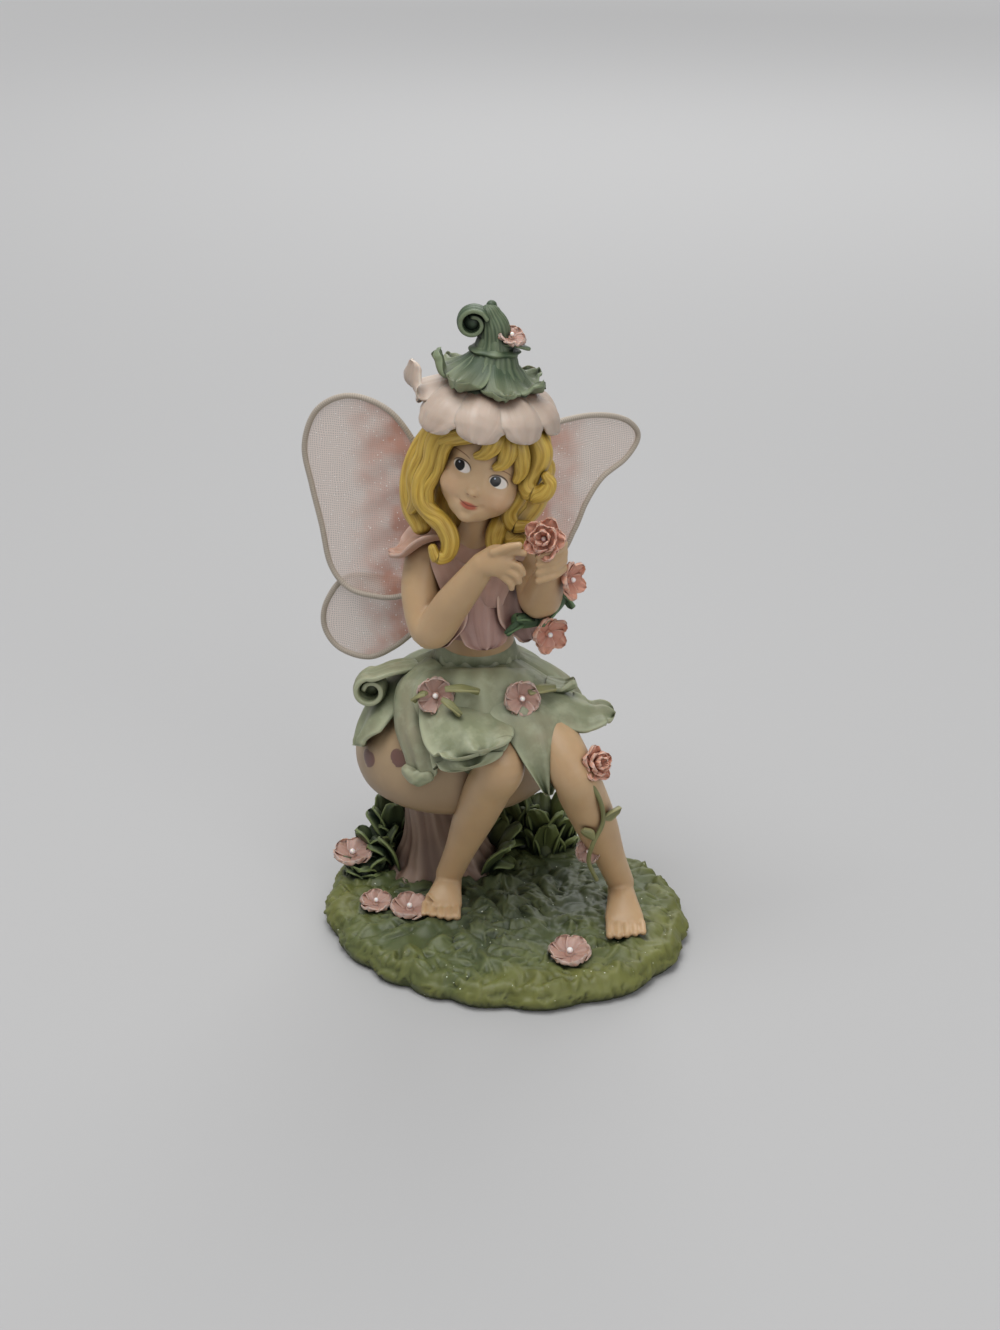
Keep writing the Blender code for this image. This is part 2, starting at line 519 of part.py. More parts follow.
def skirt(forms):
    loft("waistband", forms, from_seat([
        (0, 0, 10.4, 9.3, 7.5), (0, 0, 11.4, 9.4, 7.6), (0, -0.2, 12.2, 8.9, 7.1)]), sides=24)
    loft("skirt_core", forms, from_seat([
        (0, 0, 10.5, 9.0, 7.2), (0, -0.6, 8.0, 12.0, 9.6), (0.2, -3.0, 4.0, 16.0, 13.4),
        (0.6, -4.2, 0.0, 16.6, 14.6)]), sides=24)
    # Each panel: the way that its width runs, then its stations.
    panels = {
        "left_back": ((-0.8, 0.6, 0), [
            (4.6, 6.0, 10.8, 4.4, -1.0), (9.0, 12.0, 7.4, 7.4, -2.4), (11.0, 17.4, 2.6, 7.6, -2.4),
            (11.6, 20.4, -2.2, 3.0, -0.6)]),
        "back": ((-1, 0, 0), [
            (-1.0, 7.0, 10.8, 4.4, -0.8), (-2.0, 14.4, 7.4, 7.8, -2.4), (-3.0, 21.0, 2.0, 8.2, -2.6),
            (-3.4, 25.0, -3.0, 3.4, -0.8)]),
        "right_back": ((-0.6, -0.8, 0), [
            (-6.2, 5.0, 10.8, 4.2, -0.8), (-13.4, 9.6, 6.8, 7.2, -2.4), (-18.4, 14.0, 1.0, 7.6, -2.6),
            (-21.4, 16.4, -5.2, 3.0, -0.8)]),
        "right_hip": ((0.1, -1, 0), [
            (-8.8, 1.4, 10.8, 4.0, -0.8), (-15.8, 2.0, 6.6, 6.4, -2.4), (-21.6, 0.6, 0.6, 7.4, -3.0),
            (-24.4, -1.6, -4.4, 6.8, -2.4), (-25.2, -3.0, -7.6, 3.6, -0.4)]),
        "left_hip": ((0, 1, 0), [
            (8.8, 1.0, 10.8, 4.0, -0.8), (15.0, 1.0, 7.6, 6.2, -2.4), (19.6, 2.0, 3.4, 6.6, -2.4),
            (21.6, 3.6, -0.6, 3.6, -0.8)]),
        "left_thigh": ((0.5, 0.86, 0.1), [
            (7.0, -4.0, 10.8, 4.0, -0.8), (13.6, -9.0, 7.8, 5.8, -1.8), (19.2, -12.0, 4.6, 5.6, -1.2),
            (23.8, -10.8, 2.0, 4.0, 1.0), (26.4, -9.0, 2.8, 2.2, 1.2), (27.0, -9.4, 4.8, 1.2, 0.4)]),
        "between_knees": ((1, 0.35, 0), [
            (4.0, -6.6, 10.9, 4.4, -0.8), (8.4, -13.6, 8.6, 7.0, -2.2), (12.6, -19.2, 4.4, 6.8, -2.2),
            (14.2, -21.8, -3.0, 4.4, -1.2), (14.8, -21.2, -10.6, 1.2, 0.0)]),
        "right_thigh": ((1, 0.05, 0.2), [
            (-3.4, -6.8, 10.9, 4.6, -0.8), (-4.0, -13.6, 8.8, 8.0, -2.4), (-2.4, -19.4, 5.4, 9.2, -3.0),
            (0.0, -23.6, 1.2, 8.6, -2.6), (0.6, -25.0, -1.4, 7.0, -1.4)]),
        "right_fold": ((0.75, -0.65, 0), [
            (-8.8, -3.0, 10.8, 3.6, -0.8), (-14.0, -7.6, 7.6, 5.0, -2.6), (-15.0, -12.4, 0.6, 5.0, -3.0),
            (-13.0, -15.6, -5.4, 4.6, -2.2), (-11.6, -16.8, -9.8, 3.4, -0.4)]),
        "right_upright": ((0.3, 1, 0), [
            (14.6, -8.0, 8.4, 2.4, 0.0), (18.2, -8.4, 7.4, 2.6, 0.6), (20.6, -8.6, 8.4, 1.4, 0.6)]),
    }
    for name, (sideways, stations) in panels.items():
        petal(f"skirt_{name}", forms, from_seat(stations), sideways, PANEL_THICKNESS, ripple=0.5)
    curl = [(-13.0, 0.6, 8.8, 3.0, 0.0), (-17.6, -1.2, 8.8, 3.4, 0.0)]
    for k in range(15):
        angle = math.radians(75 + 32 * k)
        radius = 3.4 - 0.13 * k
        curl.append((-22.3 + radius * math.cos(angle), -2.2, 4.6 + radius * math.sin(angle),
                     3.4 - 0.08 * k, 0.0))
    petal("skirt_curl", forms, from_seat(curl), (0.15, 1, 0), PANEL_THICKNESS, cuts=(6, 60))
    ellipsoid("skirt_curl_back", forms, figure_point(-22.3, 0.4, 4.6), (3.0, 1.6, 3.0))


# Plants: leaves round the toadstool and vines on the arm and the leg

def leaf(name, forms, root, tip, half_width, bend):
    root, tip = Vector(root), Vector(tip)
    middle = root.lerp(tip, 0.5) + Vector((0, 0, bend))
    flat = (tip - root).cross(Vector((0, 0, 1)))
    stations = [(*root, half_width * 0.4, 0.4), (*middle, half_width, 0.6), (*tip, half_width * 0.35, 0.0)]
    petal(name, forms, stations, flat, 1.2, cuts=(4, 6))


def plants(forms):
    stem_x, stem_y = CAP_CENTRE[0] - 3.0, CAP_CENTRE[1] + 2.0
    for k in range(22):
        degrees = 118 + 14.5 * k
        if 215 < degrees < 318:
            continue
        angle = math.radians(degrees)
        out = Vector((math.cos(angle), math.sin(angle), 0))
        reach, rise = 5.6 + 1.6 * math.sin(5 * k), 6.0 + 3.4 * math.sin(2.3 * k + 1)
        root = Vector((stem_x, stem_y, BASE_CROWN_HEIGHT - 1.4)) + out * (STEM_FOOT_RADIUS - 1.5)
        tip = root + out * reach + Vector((0, 0, rise))
        leaf(f"leaf_{k}", forms, root, tip, 3.2, 2.0)
    clumps = ((-29, 17, 14), (-25, 22, 19), (-31, 12, 10), (9, 21, 19), (4, 25, 18), (12, 23, 15),
              (-3, 28, 17))
    for k, (x, y, top) in enumerate(clumps):
        loft(f"clump_{k}", forms, [(x, y, 3.0, 3.6), (x, y, 0.5 * top, 2.6), (x, y, 0.8 * top, 1.2)],
             sides=8)
        for side in range(5):
            angle = 2 * math.pi * side / 5 + k
            out = Vector((math.cos(angle), math.sin(angle), 0))
            root = Vector((x, y, 0.4 * top)) + out
            tip = Vector((x, y, top * (1 - 0.06 * (side % 3)))) + out * 4.2
            leaf(f"clump_{k}_leaf_{side}", forms, root, tip, 3.2, 1.8)
    arm_vine = [(16.2, -15.4, 35.6, 1.1), (18.0, -12.4, 32.0, 1.2), (17.4, -10.4, 28.6, 1.3),
                (15.4, -9.6, 25.4, 1.4), (12.2, -9.4, 23.4, 1.5), (8.8, -8.4, 22.8, 1.6)]
    loft("arm_vine", forms, from_seat(arm_vine), across=(0, 1, 0), sides=8)
    leg_vine = [(23.0, -23.0, -6.4, 1.0), (26.6, -22.0, -12.0, 0.9), (27.4, -20.4, -18.0, 0.9),
                (25.2, -20.6, -23.0, 0.9), (24.4, -19.0, -28.0, 0.9), (26.4, -17.6, -33.0, 0.7)]
    loft("leg_vine", forms, from_seat(leg_vine), across=(0, 1, 0), sides=8)
    leg_leaves = (((27.0, -20.6, -17.0), (29.6, -17.8, -16.6)), ((25.6, -20.8, -21.6), (22.0, -20.6, -20.4)))
    for k, (root, tip) in enumerate(leg_leaves):
        leaf(f"leg_leaf_{k}", forms, figure_point(*root), figure_point(*tip), 1.6, 0.6)
    # Stems that carry the two flowers on the arm vine.
    for k, (x, y, z) in enumerate(((17.6, -14.6, 34.4), (14.0, -10.6, 21.6))):
        stalk = [(16.4 - 2 * k, -10.6, 31.0 - 6 * k, 1.4), (x, y, z, 1.5)]
        loft(f"arm_flower_stalk_{k}", forms, from_seat(stalk), sides=8)


# Flowers and beads, glued into shallow seats

def flower_profile(size, grow=0.0):
    """The turned outline of a flower from its stub's foot to its rim, and back over the cup to its middle."""
    stub, rim = STUB_RADIUS + grow, FLOWER_RADIUS * size + grow
    under, rise = -grow, 0.42 * rim
    outline = [(0.0, -STUB_DEPTH - grow), (stub, -STUB_DEPTH - grow), (stub, under),
               (rim * 0.6, under + rise * 0.35), (rim, rise - grow * 0.5)]
    if grow:
        return outline + [(rim, rise + 4.0), (0.0, rise + 4.0)]
    return outline + [(rim * 0.97, rise + PETAL_THICKNESS * 0.7), (rim * 0.55, rise * 0.35 + PETAL_THICKNESS),
                      (0.0, PETAL_THICKNESS)]


def flower(name, size, seat, collection, cutters, material):
    def lobes(radius, angle, z):
        share = radius / (FLOWER_RADIUS * size)
        notch = abs(math.sin(FLOWER_PETALS * angle / 2))
        return radius * (1 - 0.3 * (1 - notch) ** 1.5 * min(1.0, share) ** 2), z

    body = turned(name, collection, flower_profile(size), (0, 0), lobes, FLOWER_PETALS * 4)
    body.matrix_world = seat
    body.data.materials.append(material)
    pocket = turned(f"{name}_seat", cutters, flower_profile(size, GLUE_GAP), (0, 0),
                    lambda radius, angle, z: (radius, z), 12)
    pocket.matrix_world = seat
    hide_helper(pocket)


def bead(name, seat, size, collection, material):
    bm = bmesh.new()
    bmesh.ops.create_icosphere(bm, subdivisions=2, radius=BEAD_RADIUS * size * MM)
    obj = object_from_bmesh(name, bm, collection)
    height = PETAL_THICKNESS + GLUE_GAP + BEAD_RADIUS * size
    obj.matrix_world = seat @ Matrix.Translation((0, 0, height * MM))
    obj.data.materials.append(material)


def hide_helper(obj):
    obj.hide_render = True
    obj.display_type = "WIRE"


def facing(point, axis):
    turn = Vector(axis).normalized().to_track_quat("Z", "Y").to_matrix().to_4x4()
    return Matrix.Translation(point) @ turn


def seat_on(surface, target, axis):
    """Where a line that comes in along the axis towards the target meets the casting, facing back out."""
    out = Vector(axis).normalized()
    start = Vector(target) * MM + out * 6 * MM
    hit, _, _, _ = surface.ray_cast(start, -out)
    if hit is None:
        hit, _, _, _ = surface.find_nearest(Vector(target) * MM)
    return facing(hit, out)


def figure_point(x, y, z):
    return SEAT + Vector((x, y, z))


def flowers(surface, collection, cutters, pink, white):
    ground_axis = (0, -0.25, 1)
    on_ground = {
        "ground_flower_left": ((-34.0, 13.0), 1.1), "ground_flower_pair_outer": ((-28.0, -4.4), 0.88),
        "ground_flower_pair_inner": ((-20.6, -7.8), 1.04), "ground_flower_right": ((13.6, -25.6), 1.15),
    }
    for name, ((x, y), size) in on_ground.items():
        seat = seat_on(surface, (x, y, BASE_CROWN_HEIGHT), ground_axis)
        flower(name, size, seat, collection, cutters, pink)
        bead(name.replace("flower", "bead"), seat, size, collection, white)
    on_figure = {
        "skirt_flower_right": ((-8.4, -14.0, 8.2), (-0.1, -1, 0.35), 1.0),
        "skirt_flower_left": ((9.4, -15.0, 8.0), (0.1, -1, 0.4), 0.95),
        "hand_flower": ((12.2, -20.0, 46.0), (-0.25, -1, 0.5), 0.98),
        "arm_flower_upper": ((17.6, -14.6, 34.6), (0.9, -0.6, 0.15), 0.9),
        "arm_flower_lower": ((14.0, -10.6, 21.6), (0.5, -1, 0.0), 0.9),
        "knee_flower": ((23.0, -19.0, -5.6), (0.75, -0.8, 0.5), 0.85),
        "shin_flower": ((22.6, -16.0, -28.6), (-0.1, -1, 0.3), 0.7),
        "hat_flower": ((7.0, -7.0, 83.0), (0.3, -0.4, 0.87), 0.75),
    }
    for name, (target, axis, size) in on_figure.items():
        seat = seat_on(surface, figure_point(*target), axis)
        flower(name, size, seat, collection, cutters, pink)
        bead(name.replace("flower", "bead"), seat, size, collection, white)


# Wings

WINGS = {
    "right_upper": {
        "root": (-4.6, 3.4, 30.0), "side": -1, "yaw": 18, "ends": (3.6, -1.2),
        "outline": [(1.5, 7.0), (3.6, 16.0), (8.5, 26.5), (14.5, 33.4), (23.0, 35.6), (30.3, 31.8),
                    (33.4, 23.7), (32.0, 14.9), (30.0, 6.0), (28.4, -2.4), (25.0, -7.2), (20.0, -8.8),
                    (12.5, -8.2), (1.5, -2.4)],
    },
    "right_lower": {
        "root": (-3.6, 5.3, 26.0), "side": -1, "yaw": 18, "ends": (-2.0, -6.2),
        "outline": [(4.8, -2.2), (13.7, -1.4), (25.0, -1.8), (30.4, -8.0), (31.4, -14.3), (28.0, -19.1),
                    (21.1, -20.4), (14.8, -16.9), (9.0, -11.6), (2.0, -6.8)],
    },
    "left_upper": {
        "root": (4.0, 3.4, 30.0), "side": 1, "yaw": 34, "ends": (3.4, -1.2),
        "outline": [(1.5, 6.0), (3.2, 13.0), (6.6, 21.0), (13.0, 28.2), (20.6, 29.4), (28.6, 28.4),
                    (34.6, 25.8), (37.0, 22.0), (33.8, 17.8), (27.6, 14.6), (23.4, 9.8), (20.4, 4.2),
                    (15.5, -1.2), (1.5, -2.2)],
    },
    "left_lower": {
        "root": (3.0, 5.3, 26.0), "side": 1, "yaw": 62, "ends": (-2.0, -6.2),
        "outline": [(5.0, -2.0), (12.0, -1.4), (20.5, -2.0), (25.0, -7.0), (25.8, -12.4), (22.8, -16.2),
                    (17.0, -17.0), (11.5, -13.6), (7.0, -9.6), (2.0, -6.8)],
    },
}


def wing_frame(spec):
    yaw = math.radians(spec["yaw"])
    out = Vector((spec["side"] * math.cos(yaw), math.sin(yaw), 0))
    up = Vector((0, 0, 1))
    rotation = Matrix((out, up, out.cross(up))).transposed().to_4x4()
    return Matrix.Translation(figure_point(*spec["root"]) * MM) @ rotation


def wing_curve(name, points, frame, collection):
    data = bpy.data.curves.new(name, "CURVE")
    data.dimensions = "3D"
    spline = data.splines.new("POLY")
    spline.points.add(len(points) - 1)
    for point, (a, b) in zip(spline.points, points):
        point.co = (a * MM, b * MM, 0.0, 1.0)
    obj = bpy.data.objects.new(name, data)
    obj.matrix_world = frame
    collection.objects.link(obj)
    return obj, spline


def wire_points(spec, extra=0.0):
    """The wire's line: straight out of the back, round the wing, and back into it."""
    first, last = spec["ends"]
    inside = -WING_ROOT_DEPTH - extra
    line = [(inside, first)] + spec["outline"] + [(inside, last)]
    count = 2 * (len(line) - 1)
    return [row_at(line, k / count) for k in range(count + 1)]


def net_points(spec):
    """The net's edge, inside the wire by its radius and the gap, from where the wing leaves the back."""
    line = wire_points(spec)
    inset = WIRE_RADIUS + GLUE_GAP
    middle = Vector((sum(p[0] for p in line), sum(p[1] for p in line))) / len(line)
    edge = []
    for before, here, after in zip(line, line[1:], line[2:]):
        along = Vector((after[0] - before[0], after[1] - before[1])).normalized()
        inward = Vector((-along.y, along.x))
        point = Vector(here) + inward * (inset if turns_left(line) else -inset)
        if point.x > NET_START and (point - middle).length > 1.0:
            edge.append(tuple(point))
    return edge


def turns_left(line):
    """Whether the outline runs anticlockwise, from the sign of its area."""
    return sum(a[0] * b[1] - b[0] * a[1] for a, b in zip(line, line[1:] + line[:1])) > 0


def wings(collection, cutters, wire_material, net_material):
    for name, spec in WINGS.items():
        frame = wing_frame(spec)
        wire, _ = wing_curve(f"{name}_wing_wire", wire_points(spec), frame, collection)
        wire.data.bevel_depth = WIRE_RADIUS * MM
        wire.data.bevel_resolution = 1
        wire.data.use_fill_caps = True
        wire.data.materials.append(wire_material)
        drill, _ = wing_curve(f"{name}_drill", wire_points(spec, GLUE_GAP), frame, cutters)
        drill.data.bevel_depth = (WIRE_RADIUS + GLUE_GAP) * MM
        drill.data.bevel_resolution = 1
        drill.data.use_fill_caps = True
        curve_to_mesh(drill, cutters)
        net, spline = wing_curve(f"{name}_wing_net", net_points(spec), frame, collection)
        net.data.dimensions = "2D"
        net.data.fill_mode = "BOTH"
        net.data.extrude = NET_THICKNESS / 2 * MM
        spline.use_cyclic_u = True
        net.data.materials.append(net_material)


def curve_to_mesh(obj, collection):
    """A hidden mesh copy of a curve, for use as a cutter, in place of the curve."""
    graph = bpy.context.evaluated_depsgraph_get()
    mesh = bpy.data.meshes.new_from_object(obj.evaluated_get(graph))
    name, matrix = obj.name, obj.matrix_world.copy()
    bpy.data.objects.remove(obj)
    bm = bmesh.new()
    bm.from_mesh(mesh)
    bmesh.ops.remove_doubles(bm, verts=bm.verts, dist=0.000001)
    made = object_from_bmesh(name, bm, collection)
    made.matrix_world = matrix
    hide_helper(made)


# Joining the sculpture into one casting

def joined(forms):
    """One mesh of every sculpted form, as closed shells that still cross each other."""
    bm = bmesh.new()
    for obj in forms.objects:
        mesh = evaluated_mesh(obj)
        bm.from_mesh(mesh)
        bpy.data.meshes.remove(mesh)
    return bm


def keep_outer_shell(bm):
    """Keeps the shell with the most faces, without voids shut inside it or slivers that a cut left loose."""
    seen, shells = set(), []
    for start in bm.faces:
        if start in seen:
            continue
        shell, waiting = [], [start]
        seen.add(start)
        while waiting:
            face = waiting.pop()
            shell.append(face)
            for edge in face.edges:
                for other in edge.link_faces if len(edge.link_faces) == 2 else ():
                    if other not in seen:
                        seen.add(other)
                        waiting.append(other)
        shells.append(shell)
    shells.sort(key=len)
    for shell in shells[:-1]:
        bmesh.ops.delete(bm, geom=shell, context="FACES")


def cast(forms):
    """Joins the forms as a mould would, rounds the joins, and thins the facets."""
    clay = object_from_bmesh("clay", joined(forms), forms)
    grain = clay.modifiers.new("one skin", "REMESH")
    grain.mode = "VOXEL"
    grain.voxel_size = CAST_GRAIN * MM
    soften = clay.modifiers.new("soft joins", "SMOOTH")
    soften.factor = 0.5
    soften.iterations = 3
    bm = bmesh.new()
    bm.from_mesh(evaluated_mesh(clay))
    keep_outer_shell(bm)
    bmesh.ops.triangulate(bm, faces=bm.faces)
    dense = object_from_bmesh("dense", bm, forms)
    thin = dense.modifiers.new("fewer facets", "DECIMATE")
    thin.ratio = CAST_FACETS / len(dense.data.polygons)
    bm = bmesh.new()
    bm.from_mesh(evaluated_mesh(dense))
    bmesh.ops.bisect_plane(bm, geom=bm.verts[:] + bm.edges[:] + bm.faces[:], plane_co=(0, 0, 0),
                           plane_no=(0, 0, 1), clear_inner=True)
    bmesh.ops.holes_fill(bm, edges=bm.edges, sides=0)
    bmesh.ops.triangulate(bm, faces=bm.faces)
    surface = BVHTree.FromBMesh(bm)
    return object_from_bmesh("blank", bm, forms), surface


def cut_seats(blank, cutters, collection, material):
    """Cuts the flowers' seats and the wings' holes out of the casting."""
    seats = blank.modifiers.new("seats and wing holes", "BOOLEAN")
    seats.operation = "DIFFERENCE"
    seats.operand_type = "COLLECTION"
    seats.collection = cutters
    seats.solver = "EXACT"
    bm = bmesh.new()
    bm.from_mesh(evaluated_mesh(blank))
    keep_outer_shell(bm)
    casting = object_from_bmesh("resin_casting", bm, collection)
    casting.data.materials.append(material)


def main():
    clear_scene()
    figurine = new_collection("fairy_figurine")
    forms = new_collection("sculpted_forms")
    cutters = new_collection("cutters")
    resin = plain_material("painted_resin", RESIN_COLOURS["turf"], 0.6)
    pink = plain_material("pink_resin", RESIN_COLOURS["flower_pink"], 0.45)
    white = plain_material("pearl", RESIN_COLOURS["bead_white"], 0.2)
    wrap = plain_material("wrapped_wire", RESIN_COLOURS["wire_wrap"], 0.7)
    net = plain_material("wing_net", RESIN_COLOURS["net_pink"], 0.6)
    for build in (ground, toadstool, torso, arms_and_hands, legs_and_feet, head, hair, hat, bodice, skirt,
                  plants):
        build(forms)
    blank, surface = cast(forms)
    flowers(surface, figurine, cutters, pink, white)
    wings(figurine, cutters, wrap, net)
    cut_seats(blank, cutters, figurine, resin)
    for obj in list(forms.objects) + list(cutters.objects):
        bpy.data.objects.remove(obj)


main()
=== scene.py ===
import math
import random

import bmesh
import bpy
import numpy as np
from mathutils import Matrix, Vector, noise


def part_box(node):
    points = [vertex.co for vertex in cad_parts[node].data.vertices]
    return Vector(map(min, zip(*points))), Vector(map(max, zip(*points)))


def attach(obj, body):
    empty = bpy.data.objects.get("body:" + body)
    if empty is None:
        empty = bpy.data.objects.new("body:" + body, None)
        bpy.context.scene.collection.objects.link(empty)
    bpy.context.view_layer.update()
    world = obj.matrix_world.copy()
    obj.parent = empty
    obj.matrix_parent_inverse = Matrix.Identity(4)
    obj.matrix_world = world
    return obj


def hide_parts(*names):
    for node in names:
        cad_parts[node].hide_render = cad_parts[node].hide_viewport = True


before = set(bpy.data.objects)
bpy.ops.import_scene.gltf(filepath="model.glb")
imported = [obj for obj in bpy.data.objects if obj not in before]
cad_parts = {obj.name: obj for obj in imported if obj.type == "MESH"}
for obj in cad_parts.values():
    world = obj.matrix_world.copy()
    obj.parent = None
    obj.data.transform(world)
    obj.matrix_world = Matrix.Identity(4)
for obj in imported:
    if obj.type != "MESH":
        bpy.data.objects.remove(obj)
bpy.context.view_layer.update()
mm = 0.001

# Places shared by the pieces, in millimetres, as the casting has them
figure = {
    "baseTop": 7.4, "baseRim": 4.8, "baseLength": 83.6, "baseBreadth": 73.6, "baseTurn": -35.0,
    "capCentre": (-10.5, 14.0), "capRadius": 22.3, "capUnder": 28.4, "capHeight": 21.6,
    "seat": (-6.0, 7.0, 50.0),
    "headCentre": (2.5, -6.4, 57.0), "headRoll": 20.0, "headPitch": -5.0, "headYaw": -8.0,
    "hatCentre": (1.6, -5.6, 66.4), "hatRoll": 12.0,
}
seat = Vector(figure["seat"])


def turnedFrame(centre, roll, pitch=0.0, yaw=0.0):
    turn = (Matrix.Rotation(math.radians(yaw), 4, "Z") @ Matrix.Rotation(math.radians(pitch), 4, "X")
            @ Matrix.Rotation(math.radians(roll), 4, "Y"))
    return Matrix.Translation(seat + Vector(centre)) @ turn


headFrame = turnedFrame(figure["headCentre"], figure["headRoll"], figure["headPitch"], figure["headYaw"])
hatFrame = turnedFrame(figure["hatCentre"], figure["hatRoll"])
seatFrame = Matrix.Translation(seat)
plainFrame = Matrix.Identity(4)


# Colours and nodes

def linear(hexColour):
    # sRGB hex to the linear values that a shader takes
    parts = [int(hexColour[i:i + 2], 16) / 255 for i in (0, 2, 4)]
    return (*[p / 12.92 if p <= 0.04045 else ((p + 0.055) / 1.055) ** 2.4 for p in parts], 1.0)


def addNode(material, kind, inputs=None, **settings):
    # kind is the shader node's type, inputs are numbers, colours or other nodes' sockets
    node = material.node_tree.nodes.new("ShaderNode" + kind)
    for name, value in settings.items():
        setattr(node, name, value)
    for key, value in (inputs or {}).items():
        if isinstance(value, bpy.types.NodeSocket):
            material.node_tree.links.new(value, node.inputs[key])
        else:
            node.inputs[key].default_value = value
    return node


def newMaterial(name):
    material = bpy.data.materials.new(name)
    material.use_nodes = True
    material.node_tree.nodes.clear()
    return material


def finishSurface(material, inputs):
    shader = addNode(material, "BsdfPrincipled", inputs)
    addNode(material, "OutputMaterial", {"Surface": shader.outputs[0]})
    return shader


resin = {"ior": 1.49, "brushGrain": 0.4, "brushDepth": 0.06, "combDepth": 0.25, "glowDepth": 0.5,
         "glowColour": (1.0, 0.6, 0.4)}


def castResin(name, base, light, deep, hollow=2.5, mottle=6.0, roughness=0.5, waxy=0.12, marks=None):
    # Cold-cast polyresin, painted by hand. A painted shade, darker paint set by ambient occlusion, lies in
    # the hollows; a painted highlight lightens raised edges and crests; and the surface is a waxy satin
    # that lets a little light in. The base is one paint or a function that makes several, and marks
    # paints over the painted shade.
    material = newMaterial(name)
    place = addNode(material, "TexCoord").outputs["Object"]
    # Painted shade: ambient occlusion sets where the deep paint darkens the hollows
    occlusionShade = addNode(material, "AmbientOcclusion", {"Distance": hollow * mm}, samples=8)
    depth = addNode(material, "MapRange", {"Value": occlusionShade.outputs["AO"], "From Min": 0.3, "From Max": 0.9})
    # Painted highlight: the lift attribute sets where the light paint brightens edges, crests and high
    # blades
    lift = addNode(material, "Attribute", attribute_name="lift")
    brushed = addNode(material, "TexNoise", {"Vector": place, "Scale": 1 / (mottle * mm), "Detail": 4.0})
    patches = addNode(material, "MapRange", {"Value": brushed.outputs["Fac"], "From Min": 0.35,
                                             "From Max": 0.75, "To Min": 0.0, "To Max": 0.3})
    body = base(material, place) if callable(base) else linear(base)
    # Mottled patches of the deep paint, then the painted highlight on raised parts
    for share, paint in ((patches.outputs[0], deep), (lift.outputs["Fac"], light)):
        body = addNode(material, "Mix", {"Factor": share, 6: body, 7: linear(paint)},
                       data_type="RGBA").outputs[2]
    # The painted shade goes over the mottled paint and the painted highlight
    body = addNode(material, "Mix", {"Factor": depth.outputs[0], 6: linear(deep), 7: body},
                   data_type="RGBA").outputs[2]
    if marks:
        body, roughness = marks(material, place, body)
    # Brush marks and the grain of the cast
    grain = addNode(material, "TexNoise", {"Vector": place, "Scale": 1 / (resin["brushGrain"] * mm),
                                           "Detail": 3.0})
    relief = addNode(material, "Bump", {"Height": grain.outputs["Fac"], "Strength": 0.12,
                                        "Distance": resin["brushDepth"] * mm})
    # Strands combed along a lock, vein lines along a petal
    strand = addNode(material, "Attribute", attribute_name="strand")
    combed = addNode(material, "TexNoise", {"Vector": strand.outputs["Vector"], "Scale": 1.0,
                                            "Detail": 3.0})
    relief = addNode(material, "Bump", {"Height": combed.outputs["Fac"], "Strength": 0.5,
                                        "Distance": resin["combDepth"] * mm, "Normal": relief.outputs[0]})
    finishSurface(material, {"Base Color": body, "Roughness": roughness, "IOR": resin["ior"],
                             "Normal": relief.outputs[0], "Subsurface Weight": waxy,
                             "Subsurface Scale": resin["glowDepth"] * mm,
                             "Subsurface Radius": resin["glowColour"]})
    return material


# Forms: one grid wrapped into a closed tube or leaf

def rowAt(rows, t):
    # Catmull-Rom through the stations
    place = min(max(t, 0.0), 1.0) * (len(rows) - 1)
    i = min(int(place), len(rows) - 2)
    f = place - i
    a, b, c, d = rows[max(i - 1, 0)], rows[i], rows[i + 1], rows[min(i + 2, len(rows) - 1)]
    return [0.5 * (2 * q + (r - p) * f + (2 * p - 5 * q + 4 * r - s) * f * f
                   + (3 * q - p - 3 * r + s) * f ** 3)
            for p, q, r, s in zip(a, b, c, d)]


def frameAt(rows, t, across):
    step = 0.02
    centre = Vector(rowAt(rows, t)[:3])
    tangent = (Vector(rowAt(rows, t + step)[:3]) - Vector(rowAt(rows, t - step)[:3])).normalized()
    side = Vector(across)
    side = (side - side.dot(tangent) * tangent).normalized()
    return centre, side, tangent.cross(side), tangent


def endCap(p, share):
    # How far along, how wide and how far past the end a row stands
    if p < share:
        angle = (1 - p / share) * math.pi / 2
        return 0.0, math.cos(angle), -math.sin(angle)
    if p > 1 - share:
        angle = (p - 1 + share) / share * math.pi / 2
        return 1.0, math.cos(angle), math.sin(angle)
    return (p - share) / (1 - 2 * share), 1.0, 0.0


def wrapGrid(bm, place, rows, columns):
    lift = bm.verts.layers.float.get("lift") or bm.verts.layers.float.new("lift")
    along = bm.verts.layers.float.get("along") or bm.verts.layers.float.new("along")
    strand = bm.verts.layers.float_vector.get("strand") or bm.verts.layers.float_vector.new("strand")
    verts = bmesh.ops.create_grid(bm, x_segments=columns, y_segments=rows, size=1.0)["verts"]
    start = 9.0 * len(bm.verts)
    for vert in verts:
        point, vert[lift], vert[along], vert[strand] = place((vert.co.y + 1) / 2, math.pi * (vert.co.x + 1))
        vert[strand] += Vector((0, 0, start))
        vert.co = point * mm
    bmesh.ops.remove_doubles(bm, verts=verts, dist=0.002 * mm)


